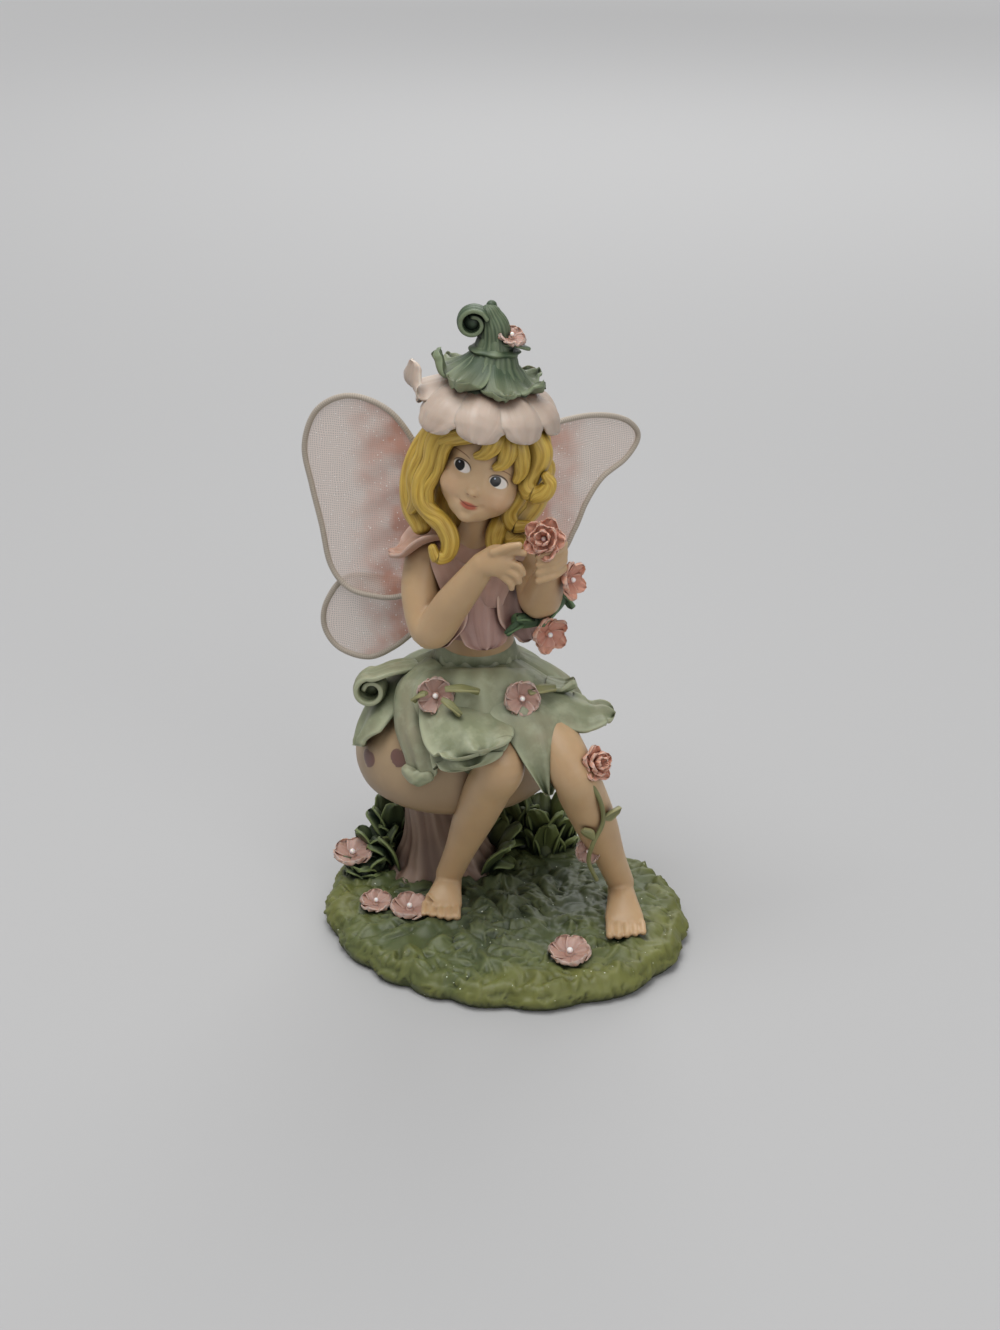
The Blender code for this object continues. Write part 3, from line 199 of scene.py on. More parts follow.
def limb(bm, stations, across=(1, 0, 0), base=seatFrame, rows=30, columns=24, strands=0, depth=0.0,
         twist=0.0, cap=0.14, fine=0.0):
    # A rounded form through oval sections: x, y, z, half width and, where it differs, half depth.
    stations = [[*(base @ Vector(s[:3])), *(s[3:] if len(s) > 4 else (s[3], s[3]))] for s in stations]
    across = base.to_3x3() @ Vector(across)
    seen = {}

    def place(p, angle):
        if p not in seen:
            t, shrink, reach = endCap(p, cap)
            seen[p] = (*frameAt(stations, t, across), *rowAt(stations, t)[3:5], t, shrink, reach)
        centre, side, normal, tangent, wide, deep, t, shrink, reach = seen[p]
        groove = 0.0
        if strands:
            drift = twist * t + 2.2 * noise.noise(Vector((2.4 * t, math.cos(angle), strands)))
            groove = 0.62 * math.cos(strands * angle + drift) + 0.38 * math.cos(
                round(strands * 0.6) * angle - 1.7 * drift + 1.0)
        swell = shrink * (1 + depth * groove)
        point = centre + tangent * reach * min(wide, deep)
        turn = angle + 0.12 * twist * t
        # lift: painted highlight on the crests of the strands, none on smooth forms
        return (point + side * wide * math.cos(angle) * swell + normal * deep * math.sin(angle) * swell,
                (0.5 + 0.5 * groove) * (0.6 if strands else 0.0), t,
                Vector((math.cos(turn), math.sin(turn), 0.12 * len(stations) * t)) * fine)

    wrapGrid(bm, place, rows, columns)


def leafSheet(bm, stations, across=(1, 0, 0), base=seatFrame, thickness=1.1, rows=30, columns=40,
              waves=(0.0, 3, 0.0), veins=(0, 0.0), roll=0.0, tip=0.5, cap=0.14):
    # A cupped petal: x, y, z, half width and how far its edges rise. waves is height, count and phase
    # across it, veins is count and depth, roll curls its edges and tip is how pointed it ends.
    stations = [[*(base @ Vector(s[:3])), *s[3:]] for s in stations]
    across = base.to_3x3() @ Vector(across)
    seen = {}

    def place(p, angle):
        if p not in seen:
            t, shrink, reach = endCap(p, cap)
            seen[p] = (*frameAt(stations, t, across), *rowAt(stations, t)[3:5], t, shrink, reach)
        centre, side, normal, tangent, wide, cup, t, shrink, reach = seen[p]
        s = math.cos(angle)
        edge = max(abs(s), abs(reach))
        vein = veins[0] * s * math.pi / 2
        groove = -veins[1] * abs(math.cos(vein)) ** 6 * min(1, 3 * (1 - edge)) if veins[0] else 0
        wave = waves[0] * t ** 1.3 * math.sin(waves[1] * math.pi * s + waves[2])
        curl = roll * max(0.0, edge - 0.72) ** 2 / 0.08 * t
        full = math.copysign(abs(math.sin(angle)) ** 0.5, math.sin(angle))
        body = 0.5 * thickness * full * (0.45 + 0.55 * shrink) * (1 - 0.3 * s * s + 0.4 * s ** 8)
        point = (centre + tangent * reach * wide * tip * (1.0 if reach > 0 else 0.2)
                 + side * wide * s * shrink
                 + normal * (cup * s * s * shrink + wave + curl + body + groove))
        # lift: painted highlight on the rims and along the ribs
        rim = max(0.0, (edge - 0.7) / 0.3)
        rib = 0.16 * abs(math.sin(vein)) ** 6 if veins[0] else 0.0
        return point, min(1.0, rim * rim * 0.8 + rib), t, Vector((2.0 * veins[0] * s, 0.0, 1.5 * t))

    wrapGrid(bm, place, rows, columns)


def ball(bm, centre, radii, base=seatFrame, segments=48):
    size = Matrix.Diagonal((*(r * mm for r in radii), 1.0))
    move = Matrix.Translation(base @ Vector(centre) * mm)
    bmesh.ops.create_uvsphere(bm, u_segments=segments, v_segments=segments * 2 // 3, radius=1.0,
                              matrix=move @ base.to_3x3().normalized().to_4x4() @ size)


def turnedForm(bm, profile, steps, place):
    # Spins a profile of (reach, height) pairs about an upright line, then moves each point by place
    lift = bm.verts.layers.float.get("lift") or bm.verts.layers.float.new("lift")
    verts = [bm.verts.new((x * mm, 0, z * mm)) for x, z in profile]
    edges = [bm.edges.new(pair) for pair in zip(verts, verts[1:])]
    bmesh.ops.spin(bm, geom=verts + edges, cent=(0, 0, 0), axis=(0, 0, 1), angle=2 * math.pi, steps=steps,
                   use_merge=True)
    bmesh.ops.remove_doubles(bm, verts=bm.verts, dist=0.002 * mm)
    for vert in bm.verts:
        x, y, z = vert.co / mm
        vert.co, vert[lift] = place(math.hypot(x, y), math.atan2(y, x), z)
        vert.co *= mm


def dressPiece(name, bm, material, replaced=("resin_casting",)):
    bmesh.ops.recalc_face_normals(bm, faces=bm.faces)
    mesh = bpy.data.meshes.new(name)
    bm.to_mesh(mesh)
    bm.free()
    mesh.shade_smooth()
    mesh.materials.append(material)
    piece = bpy.data.objects.new(name, mesh)
    bpy.context.scene.collection.objects.link(piece)
    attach(piece, "root")
    if replaced:
        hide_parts(*replaced)
    return piece


def fusedForms(bm, grain, smoothing):
    # One skin over crossing forms, as the mould has it
    bmesh.ops.recalc_face_normals(bm, faces=bm.faces)
    mesh = bpy.data.meshes.new("clay")
    bm.to_mesh(mesh)
    bm.free()
    clay = bpy.data.objects.new("clay", mesh)
    bpy.context.scene.collection.objects.link(clay)
    skin = clay.modifiers.new("one skin", "REMESH")
    skin.mode = "VOXEL"
    skin.voxel_size = grain * mm
    soften = clay.modifiers.new("soft joins", "SMOOTH")
    soften.factor = 0.5
    soften.iterations = smoothing
    graph = bpy.context.evaluated_depsgraph_get()
    fused = bmesh.new()
    fused.from_mesh(bpy.data.meshes.new_from_object(clay.evaluated_get(graph)))
    bpy.data.objects.remove(clay)
    return fused


def pushForms(bm, base, pushes):
    # Thumb marks: centre, reach and movement of each, in the form's own frame
    turn = base.to_3x3()
    marks = [(base @ Vector(c) * mm, r * mm, turn @ Vector(move) * mm) for c, r, move in pushes]
    for vert in bm.verts:
        total = Vector((0, 0, 0))
        for centre, reach, move in marks:
            far = (vert.co - centre).length / reach
            if far < 1:
                total += move * (1 - far * far) ** 2
        vert.co += total


# Ground: an oval of grass tufts pressed in relief

turf = {"tufts": 560, "length": (4.2, 8.2), "width": (1.4, 2.6), "height": 1.05, "steps": 480, "rings": 84,
        "edgeTufts": 17, "edgeDepth": 1.5, "swell": 1.1, "pitch": 4.6, "seed": 7,
        "paintReach": (41.0, 37.0), "paintShift": 6.0, "specks": 1.5}


def rimReach(angle):
    turn = angle - math.radians(figure["baseTurn"])
    a, b = figure["baseLength"] / 2, figure["baseBreadth"] / 2
    return a * b / math.hypot(b * math.cos(turn), a * math.sin(turn))


def groundHeight(x, y):
    share = min(1.0, math.hypot(x, y) / rimReach(math.atan2(y, x)))
    return figure["baseTop"] - (figure["baseTop"] - figure["baseRim"]) * share ** 3


def grassRelief(flat):
    # Height of the pressed tufts at points on the unrolled ground, in millimetres
    draw = random.Random(turf["seed"])
    relief = np.zeros(len(flat))
    for _ in range(turf["tufts"]):
        far, angle = 45 * math.sqrt(draw.random()), draw.uniform(0, 2 * math.pi)
        centre = np.array((far * math.cos(angle), far * math.sin(angle)))
        swirl = 5 * noise.noise(Vector((*centre / 17, 3.0)))
        outward = min(1.0, max(0.0, (far - 22) / 12))
        lean = angle + (1 - outward) * swirl * 2 + draw.uniform(-0.55, 0.55)
        for blade in range(3):
            turn = lean + (blade - 1) * 0.42
            length, width = draw.uniform(*turf["length"]) / 2, draw.uniform(*turf["width"]) / 2
            height = turf["height"] * draw.uniform(0.55, 1.0)
            start = centre + np.array((math.cos(turn), math.sin(turn))) * length
            near = np.nonzero(np.abs(flat - start).max(axis=1) < length + width)[0]
            if not len(near):
                continue
            off = flat[near] - start
            u = (off[:, 0] * math.cos(turn) + off[:, 1] * math.sin(turn)) / length
            bend = 0.3 * (blade - 1) + 0.15 * math.sin(7 * centre[0])
            v = -off[:, 0] * math.sin(turn) + off[:, 1] * math.cos(turn)
            v -= bend * length * (u + 1) ** 2 / 2
            v /= width * np.clip(1.15 - 0.45 * (u + 1), 0.15, 1)
            # Each blade slopes across its width, so neighbours lie like shingles
            blunt = np.clip(1 - u ** 4, 0, 1) * np.clip(1 - np.abs(v) ** 3, 0, 1) ** 0.5
            relief[near] = np.maximum(relief[near], blunt * (0.6 + 0.25 * v + 0.15 * u) * height)
    return relief


def makeGround():
    rim, rings = figure["baseRim"], turf["rings"]
    profile = [(0, 0), (0.5, 0), (0.955, 0), (0.975, 0.35)]
    profile += [(0.975 + 0.025 * math.sin(a), rim * (0.1 + 0.75 * a / math.pi))
                for a in (math.pi * k / 10 for k in range(11))]
    profile += [(0.962, rim * 0.94), (0.945, rim)]
    profile += [(0.94 * (1 - k / rings), rim) for k in range(1, rings)] + [(0, rim)]
    bm = bmesh.new()

    def oval(share, angle, z):
        tuft = abs(math.sin(turf["edgeTufts"] * angle / 2 + 0.7 * math.sin(3 * angle)))
        reach = share * (rimReach(angle) - turf["edgeDepth"] * (1 - tuft) * share ** 4)
        x, y = reach * math.cos(angle), reach * math.sin(angle)
        swell = 2 * abs(noise.noise(Vector((x / turf["pitch"], y / turf["pitch"], 0.4)))) - 0.3
        lump = turf["swell"] * swell * min(1.0, 12 * (1 - share))
        top = groundHeight(x, y) + lump if z >= rim - 1e-6 else z
        return Vector((x, y, top)), 0.0

    turnedForm(bm, profile, turf["steps"], oval)
    bmesh.ops.recalc_face_normals(bm, faces=bm.faces)
    bm.normal_update()
    moving = [v for v in bm.verts if v.co.z > 0.3 * mm]
    flat = []
    for vert in moving:
        x, y, z = vert.co / mm
        drop = max(0.0, rim - z) if math.hypot(x, y) > 0.9 * rimReach(math.atan2(y, x)) else 0.0
        scale = 1 + drop / max(math.hypot(x, y), 1)
        flat.append((x * scale, y * scale))
    relief = grassRelief(np.array(flat))
    lift = bm.verts.layers.float["lift"]
    normals = [v.normal.copy() for v in moving]
    for vert, height, normal in zip(moving, relief, normals):
        foot = min(1.0, vert.co.z / mm / 1.5)
        inward = 0.25 if vert.co.z / mm > rim - 0.5 else 0.5
        vert.co += normal * (height - inward) * foot * mm
        # Painted highlight: the higher a blade stands, the lighter its paint
        vert[lift] = 0.5 * min(1.0, height / turf["height"]) ** 2
    return bm


def turfColours(material, place):
    # Dark green by the toadstool, olive further out and yellow-green at the rim
    wide, deep = turf["paintReach"]
    flat = addNode(material, "Mapping", {"Vector": place, "Location": (0.0, turf["paintShift"] * mm, 0.0),
                                         "Scale": (1 / (wide * mm), 1 / (deep * mm), 0.0)})
    far = addNode(material, "VectorMath", {0: flat.outputs[0]}, operation="LENGTH")
    patch = addNode(material, "TexNoise", {"Vector": place, "Scale": 1 / (13 * mm), "Detail": 2.0})
    spread = addNode(material, "Math", {0: patch.outputs["Fac"], 1: 0.5}, operation="SUBTRACT")
    reach = addNode(material, "Math", {0: spread.outputs[0], 1: 0.7, 2: far.outputs["Value"]},
                    operation="MULTIPLY_ADD")
    ramp = addNode(material, "ValToRGB", {"Fac": reach.outputs[0]})
    stops = ramp.color_ramp.elements
    stops[0].position, stops[0].color = 0.4, linear("465036")
    stops[1].position, stops[1].color = 1.02, linear("6b6e33")
    middle = stops.new(0.76)
    middle.color = linear("545e35")
    return ramp.outputs[0]


def glitter(material, place, body):
    # Sparse specks of fine glitter dusted on the paint, drawn 0.25 mm wide so that they show
    cells = addNode(material, "TexVoronoi", {"Vector": place, "Scale": 1 / (turf["specks"] * mm)})
    speck = addNode(material, "Math", {0: cells.outputs["Distance"], 1: 0.09}, operation="LESS_THAN")
    chosen = addNode(material, "SeparateColor", {0: cells.outputs["Color"]})
    few = addNode(material, "Math", {0: chosen.outputs[0], 1: 0.72}, operation="GREATER_THAN")
    share = addNode(material, "Math", {0: speck.outputs[0], 1: few.outputs[0]}, operation="MULTIPLY")
    shiny = addNode(material, "MapRange", {"Value": share.outputs[0], "To Min": 0.5, "To Max": 0.12})
    return addNode(material, "Mix", {"Factor": share.outputs[0], 6: body, 7: linear("d6dbc2")},
                   data_type="RGBA").outputs[2], shiny.outputs[0]


turfResin = castResin("cold_cast_resin_grass_green", turfColours, "84874a", "1a2213", hollow=2.1,
                      marks=glitter)
dressPiece("grass_base", makeGround(), turfResin)
print("ground made")


# Toadstool: a domed cap with inlaid spots on a fluted stem

toadstool = {"spots": ((211, 0.47, 1.8), (236, 0.62, 1.7), (188, 0.62, 1.5), (168, 0.45, 2.3),
                       (140, 0.56, 2.0), (112, 0.42, 2.2), (84, 0.58, 1.9), (58, 0.44, 2.3),
                       (30, 0.52, 2.0), (4, 0.44, 2.2)),
             "spotDepth": 0.28, "stemRadius": 8.6, "footRadius": 12.5, "flutes": 18,
             "stemShift": (-3.0, 2.0), "shade": (28.0, 40.0)}


def makeCap():
    heights = [(0.0, 0.14), (0.4, 0.08), (0.76, 0.0), (0.92, 0.06), (0.985, 0.18), (1.0, 0.34),
               (0.975, 0.54), (0.89, 0.74), (0.74, 0.89), (0.5, 0.97), (0.25, 1.0), (0.0, 1.0)]
    profile = [rowAt(heights, k / 88) for k in range(89)]
    bm = bmesh.new()
    spot = bm.verts.layers.float.new("spot")
    radius, under, tall = figure["capRadius"], figure["capUnder"], figure["capHeight"]
    centre = Vector((*figure["capCentre"], 0))

    def dome(share, angle, z):
        share = max(0.0, share)
        dent = 1.0 + 0.02 * math.sin(3 * angle + 0.6)
        sag = 0.5 * noise.noise(Vector((math.cos(angle) * 1.6, math.sin(angle) * 1.6, z * 2)))
        reach = share * (radius * dent + sag)
        height = under + z * tall - 0.8 * share * math.sin(angle + 0.4)
        return centre + Vector((reach * math.cos(angle), reach * math.sin(angle), height)), 0.0

    turnedForm(bm, [(max(0.0, x), z) for x, z in profile], 220, dome)
    bm.normal_update()
    for vert in bm.verts:
        x, y, z = vert.co / mm - centre
        for degrees, share, size in toadstool["spots"]:
            angle = math.radians(degrees)
            across = ((math.atan2(y, x) - angle + math.pi) % (2 * math.pi) - math.pi) * radius
            up = z - under - share * tall
            # Two lobes over a point make the soft heart shape of each spot.
            heart = math.hypot(across * 0.62 * (1 + 0.12 * up), up - 0.3 * abs(across)) / size
            if heart < 1.3:
                vert[spot] = max(vert[spot], min(1.0, max(0.0, 2.6 * (1.19 - heart))))
                sunk = min(1.0, max(0.0, 3 * (1.15 - heart)))
                vert.co -= vert.normal * toadstool["spotDepth"] * mm * sunk
    return bm


def makeStem():
    foot, waist = toadstool["footRadius"], toadstool["stemRadius"]
    heights = [(foot, 4.0), (foot, 6.5), (10.5, 10.0), (waist, 15.0), (8.4, 24.4), (9.4, 30.0)]
    profile = [rowAt(heights, k / 50) for k in range(51)]
    bm = bmesh.new()
    shift = toadstool["stemShift"]
    centre = Vector((figure["capCentre"][0] + shift[0], figure["capCentre"][1] + shift[1], 0))

    def trunk(radius, angle, z):
        bend = toadstool["flutes"] / 2 * angle + 0.25 * z
        drift = 3 * noise.noise(Vector((angle, z / 9, 0)))
        crest = 0.6 * math.sin(bend) + 0.4 * math.sin(2.3 * bend + 1.3 + drift)
        root = 1 + max(0.0, (9 - z) / 16) * (0.5 + 0.5 * math.sin(5 * angle + 0.8))
        reach = radius * (1 + 0.06 * crest) * root
        # lift: painted highlight on the crests of the flutes
        return centre + Vector((reach * math.cos(angle), reach * math.sin(angle), z)), 0.35 + 0.35 * crest

    turnedForm(bm, profile, 260, trunk)
    bmesh.ops.holes_fill(bm, edges=bm.edges, sides=0)
    return bm


def spottedCap(material, place):
    spot = addNode(material, "Attribute", attribute_name="spot")
    sharp = addNode(material, "MapRange", {"Value": spot.outputs["Fac"], "From Min": 0.35, "From Max": 0.6})
    # Painted shade: the cap's beige is darker low down and lighter towards the top
    up = addNode(material, "SeparateXYZ", {0: place})
    low, high = toadstool["shade"]
    shade = addNode(material, "MapRange", {"Value": up.outputs["Z"], "From Min": low * mm,
                                           "From Max": high * mm})
    beige = addNode(material, "Mix", {"Factor": shade.outputs[0], 6: linear("8f775b"), 7: linear("aa9272")},
                    data_type="RGBA")
    return addNode(material, "Mix", {"Factor": sharp.outputs[0], 6: beige.outputs[2], 7: linear("6e4e48")},
                   data_type="RGBA").outputs[2]


capResin = castResin("cold_cast_resin_toadstool_beige", spottedCap, "bca78a", "755d44", hollow=3.0,
                     mottle=9.0, roughness=0.45, waxy=0.2)
stemResin = castResin("cold_cast_resin_stem_mauve", "806657", "a48d7b", "44342c", hollow=3.0, mottle=5.0)
dressPiece("toadstool_cap", makeCap(), capResin)
dressPiece("toadstool_stem", makeStem(), stemResin)
print("toadstool made")


# Skin: torso, arms, hands, legs and feet in one piece

skin = {"grain": 0.38, "smoothing": 2}
ankles = {"right": (-12.2, -1.6), "left": (25.2, -4.2)}
toesFromAnkle = {"right": (-1.6, -8.0), "left": (0.6, -12.4)}
hipsAndKnees = {
    "right": [(-5.0, -1.0, 3.0, 7.0), (0.0, -11.0, 0.5, 6.4), (5.0, -20.0, -4.6, 5.2)],
    "left": [(7.0, -1.0, 3.0, 7.0), (14.0, -12.0, -0.5, 6.2), (20.0, -20.0, -6.6, 5.0)],
}


def makeSkin():
    bm = bmesh.new()
    limb(bm, [(0.5, 1.0, -2.0, 12.0, 9.5), (0.5, 0.5, 4.0, 11.5, 9.0), (0.0, 0.0, 10.0, 8.6, 6.8),
              (0.0, -0.8, 16.0, 7.9, 6.4), (-0.5, -0.8, 24.0, 8.8, 6.8), (-1.0, -0.8, 31.0, 9.8, 6.6),
              (-1.0, -1.4, 36.0, 8.8, 5.2), (-0.4, -3.0, 39.5, 4.2, 3.8), (0.2, -5.0, 43.0, 3.3, 3.3),
              (1.0, -6.0, 48.0, 3.4, 3.4)], rows=60, columns=48, cap=0.08)
    arms = (
        [(-10.6, -2.0, 34.8, 4.2), (-11.6, -5.5, 28.0, 4.1), (-9.4, -11.0, 21.6, 4.0),
         (-4.6, -15.0, 29.5, 3.8), (1.6, -19.0, 39.5, 2.7)],
        [(9.0, -1.0, 35.0, 4.1), (11.8, -6.0, 31.0, 4.1), (13.2, -10.5, 28.6, 4.3),
         (14.4, -14.0, 33.0, 3.7), (15.2, -16.6, 37.5, 2.7)],
    )
    for stations in arms:
        limb(bm, stations, across=(0.4, 0.6, 0.7), rows=40)
    palms = (
        [(1.4, -19.2, 39.6, 2.6, 2.2), (4.2, -20.6, 41.0, 3.3, 2.0), (6.6, -21.0, 40.8, 3.0, 1.6)],
        [(15.2, -16.4, 37.0, 2.8, 2.5), (16.0, -17.4, 41.0, 3.0, 2.6), (15.4, -18.0, 43.8, 2.4, 2.0)],
    )
    for stations in palms:
        limb(bm, stations, across=(0.3, 0.2, 1.0))
    fingers = [
        [(5.6, -21.0, 42.6, 0.9), (8.0, -21.8, 43.4, 0.85), (9.8, -22.2, 43.2, 0.75)],
        [(5.8, -21.6, 41.0, 0.85), (8.6, -22.4, 40.6, 0.8), (9.6, -22.2, 38.9, 0.75)],
        [(5.6, -21.6, 39.5, 0.85), (8.0, -22.4, 38.6, 0.8), (8.8, -22.0, 37.0, 0.75)],
        [(5.2, -21.4, 38.1, 0.85), (6.9, -22.0, 36.8, 0.75), (7.3, -21.6, 35.4, 0.7)],
        [(3.6, -21.4, 43.0, 1.0), (6.6, -22.2, 44.5, 0.9), (8.8, -22.6, 45.1, 0.75)],
    ]
    fingers += [[(17.8, -17.6, 43.4 - d, 0.95), (15.8, -20.5, 43.0 - d, 0.9), (12.6, -20.9, 42.0 - d, 0.8)]
                for d in (0, 1.75, 3.5, 5.25)]
    for stations in fingers:
        limb(bm, stations, across=(0, 0, 1), rows=24, columns=14)
    for side, upper in hipsAndKnees.items():
        knee = seat + Vector(upper[-1][:3])
        x, y = ankles[side]
        low = groundHeight(x, y)
        ankle = Vector((x, y, low + 5.4))
        shin = [(*(knee.lerp(ankle, share) + Vector((0, bow, 0))), radius)
                for share, radius, bow in ((0.22, 5.0, 0.6), (0.5, 4.5, 1.2), (0.78, 3.3, 0.4))]
        leg = [(*(seat + Vector(s[:3])), s[3]) for s in upper] + shin + [(*ankle, 2.9)]
        limb(bm, leg, base=plainFrame, rows=70, columns=32, cap=0.06)
        dx, dy = toesFromAnkle[side]
        limb(bm, [(x, y + 1.6, low + 3.0, 2.8, 3.0), (x + dx * 0.3, y + dy * 0.3, low + 3.0, 3.3, 2.9),
                  (x + dx * 0.7, y + dy * 0.7, low + 1.7, 4.2, 1.9),
                  (x + dx, y + dy + 2.0, low + 1.1, 3.9, 1.3)], base=plainFrame)
        inner = 1.0 if side == "right" else -1.0
        for k in range(5):
            spread, thick = inner * (3.5 - 1.8 * k), 0.96 - 0.05 * k
            back = 0.5 * abs(k - 0.6)
            limb(bm, [(x + dx + spread * 0.95, y + dy + 2.4, low + 1.4, thick),
                      (x + dx + spread, y + dy - 3.0 + back, low + 0.9, thick * 0.95)],
                 base=plainFrame, rows=20, columns=14)
    return fusedForms(bm, skin["grain"], skin["smoothing"])


skinResin = castResin("cold_cast_resin_skin_peach", "c2a37c", "d0b38e", "856447", hollow=2.6, mottle=14.0,
                      roughness=0.4, waxy=0.35)
dressPiece("bare_skin", makeSkin(), skinResin)
print("skin made")


# Head: a smooth egg with a small nose, full cheeks and painted features

eyes = {"right": (-4.2, -0.65, 1.85, 1.05, 4), "left": (3.8, -0.95, 1.85, 1.1, 12)}
face = {
    # Each feature is a name, a paint, a strength and its ovals. An oval is centre x and z, half sizes, turn,
    # softness, and whether the paint lies inside or outside it.
    "features": (
        ("cheekRight", "c97f68", 0.15, ((-5.6, -5.0, 3.2, 2.6, 0, 0.9, True),)),
        ("cheekLeft", "c97f68", 0.15, ((5.2, -5.0, 3.2, 2.6, 0, 0.9, True),)),
        ("whiteRight", "e9e3dc", 1.0, ((*eyes["right"], 0.1, True),)),
        ("whiteLeft", "e9e3dc", 1.0, ((*eyes["left"], 0.1, True),)),
        ("irisRight", "050303", 1.0, ((-4.72, -0.6, 1.08, 1.12, 0, 0.1, True),
                                      (*eyes["right"], 0.1, True))),
        ("irisLeft", "050303", 1.0, ((3.2, -0.85, 1.08, 1.12, 0, 0.1, True), (*eyes["left"], 0.1, True))),
        # The glints are painted highlights: small pale dots on the irises
        ("glintRight", "b9c4d6", 1.0, ((-5.0, -0.15, 0.17, 0.15, 0, 0.3, True),)),
        ("glintLeft", "b9c4d6", 1.0, ((2.92, -0.38, 0.17, 0.15, 0, 0.3, True),)),
        ("lidRight", "3a2620", 0.95, ((-4.2, -0.5, 2.05, 1.2, 4, 0.08, True),
                                      (-4.2, -0.8, 2.05, 1.2, 4, 0.08, False))),
        ("lidLeft", "3a2620", 0.95, ((3.8, -0.8, 2.05, 1.25, 12, 0.08, True),
                                     (3.8, -1.1, 2.05, 1.25, 12, 0.08, False))),
        ("browRight", "6e4530", 0.9,
         ((-5.4, 0.9, 2.7, 1.1, 2, 0.1, True), (-5.4, 0.68, 2.8, 1.1, 2, 0.1, False),
          (-5.4, 2.4, 2.6, 1.9, 2, 0.15, True))),
        ("browLeft", "6e4530", 0.9,
         ((3.5, 0.5, 2.6, 1.2, 4, 0.1, True), (3.5, 0.28, 2.7, 1.2, 4, 0.1, False),
          (3.5, 2.0, 2.5, 1.9, 4, 0.15, True))),
        ("lips", "b4553f", 0.9, ((-0.1, -7.5, 1.7, 0.75, 0, 0.3, True),)),
        ("smile", "74352b", 0.85, ((-0.25, -6.2, 2.6, 1.25, 0, 0.1, True),
                                   (-0.25, -5.92, 2.75, 1.25, 0, 0.1, False),
                                   (-0.25, -7.6, 2.6, 1.1, 0, 0.15, True))),
        ("nostrilRight", "8a4f3c", 0.6, ((-1.0, -4.95, 0.3, 0.2, -20, 0.4, True),)),
        ("nostrilLeft", "8a4f3c", 0.6, ((0.5, -4.9, 0.3, 0.2, 20, 0.4, True),)),
    ),
    "pushes": (
        ((-4.4, -8.6, -0.6), 3.2, (0, 0.8, 0)), ((3.8, -8.6, -0.9), 3.2, (0, 0.8, 0)),
        ((-4.4, -8.0, -0.7), 1.9, (0, -0.45, 0)), ((3.8, -8.0, -1.0), 1.9, (0, -0.45, 0)),
        ((-0.25, -9.6, -4.5), 1.6, (0, -0.75, 0.1)), ((-0.25, -9.2, -1.8), 2.2, (0, 0.2, 0)),
        ((-1.1, -9.3, -4.6), 0.9, (0, -0.25, 0)), ((0.6, -9.3, -4.6), 0.9, (0, -0.25, 0)),
        ((-0.2, -9.4, -7.1), 1.5, (0, -0.3, 0)), ((-0.2, -9.2, -8.0), 1.2, (0, -0.35, 0)),
        ((-0.2, -8.8, -9.1), 1.4, (0, 0.35, 0)), ((-2.9, -8.6, -7.0), 1.0, (0, 0.3, 0)),
        ((2.4, -8.6, -7.0), 1.0, (0, 0.3, 0)),
        ((-4.8, -7.0, -5.4), 3.4, (-0.3, -0.4, 0)), ((4.6, -7.0, -5.4), 3.4, (0.3, -0.4, 0)),
    ),
}


def makeHead():
    bm = bmesh.new()
    for centre, radii in (((0, 2.0, 2.0), (9.8, 10.6, 11.0)), ((0, -2.2, -3.4), (8.6, 7.4, 8.0)),
                          ((0, -4.4, -7.2), (5.4, 4.6, 4.6)), ((0, -6.2, -9.4), (2.6, 2.4, 2.4)),
                          ((-4.3, -5.6, -4.4), (3.4, 3.0, 3.4)), ((4.3, -5.6, -4.4), (3.4, 3.0, 3.4)),
                          ((-0.25, -8.7, -4.2), (1.2, 1.5, 1.2))):
        ball(bm, centre, radii, headFrame)
    bm = fusedForms(bm, 0.32, 10)
    pushForms(bm, headFrame, face["pushes"])
    return bm


def paintedFace(material, place, colour):
    local = addNode(material, "Mapping", {"Vector": place, "Location": tuple(headFrame.translation * mm),
                                          "Rotation": tuple(headFrame.to_euler("XYZ")),
                                          "Scale": (mm, mm, mm)}, vector_type="TEXTURE").outputs[0]
    gloss = 0.0
    for name, paint, strength, ovals in face["features"]:
        mask = strength
        for x, z, wide, tall, turn, soft, inside in ovals:
            oval = addNode(material, "Mapping", {
                "Vector": local, "Location": (x, 0, z), "Rotation": (0, math.radians(turn), 0),
                "Scale": (wide, 1000, tall)}, vector_type="TEXTURE", label=name)
            far = addNode(material, "VectorMath", {0: oval.outputs[0]}, operation="LENGTH")
            edge = addNode(material, "MapRange", {
                "Value": far.outputs["Value"], "From Min": 1 - soft, "From Max": 1 + soft,
                "To Min": float(inside), "To Max": float(not inside)}, interpolation_type="SMOOTHSTEP")
            mask = addNode(material, "Math", {0: edge.outputs[0], 1: mask}, operation="MULTIPLY").outputs[0]
        colour = addNode(material, "Mix", {"Factor": mask, 6: colour, 7: linear(paint)},
                         data_type="RGBA").outputs[2]
        if name.startswith("iris"):
            gloss = addNode(material, "Math", {0: mask, 1: gloss}, operation="ADD").outputs[0]
    # The irises have a drop of gloss varnish over the satin paint
    varnish = addNode(material, "MapRange", {"Value": gloss, "To Min": 0.42, "To Max": 0.28})
    return colour, varnish.outputs[0]


faceResin = castResin("cold_cast_resin_face_peach", "d2b48e", "dcbf9b", "9d7d59", hollow=2.0, mottle=30.0,
                      waxy=0.35, marks=paintedFace)
dressPiece("head", makeHead(), faceResin)
print("head made")


# Hair: combed locks

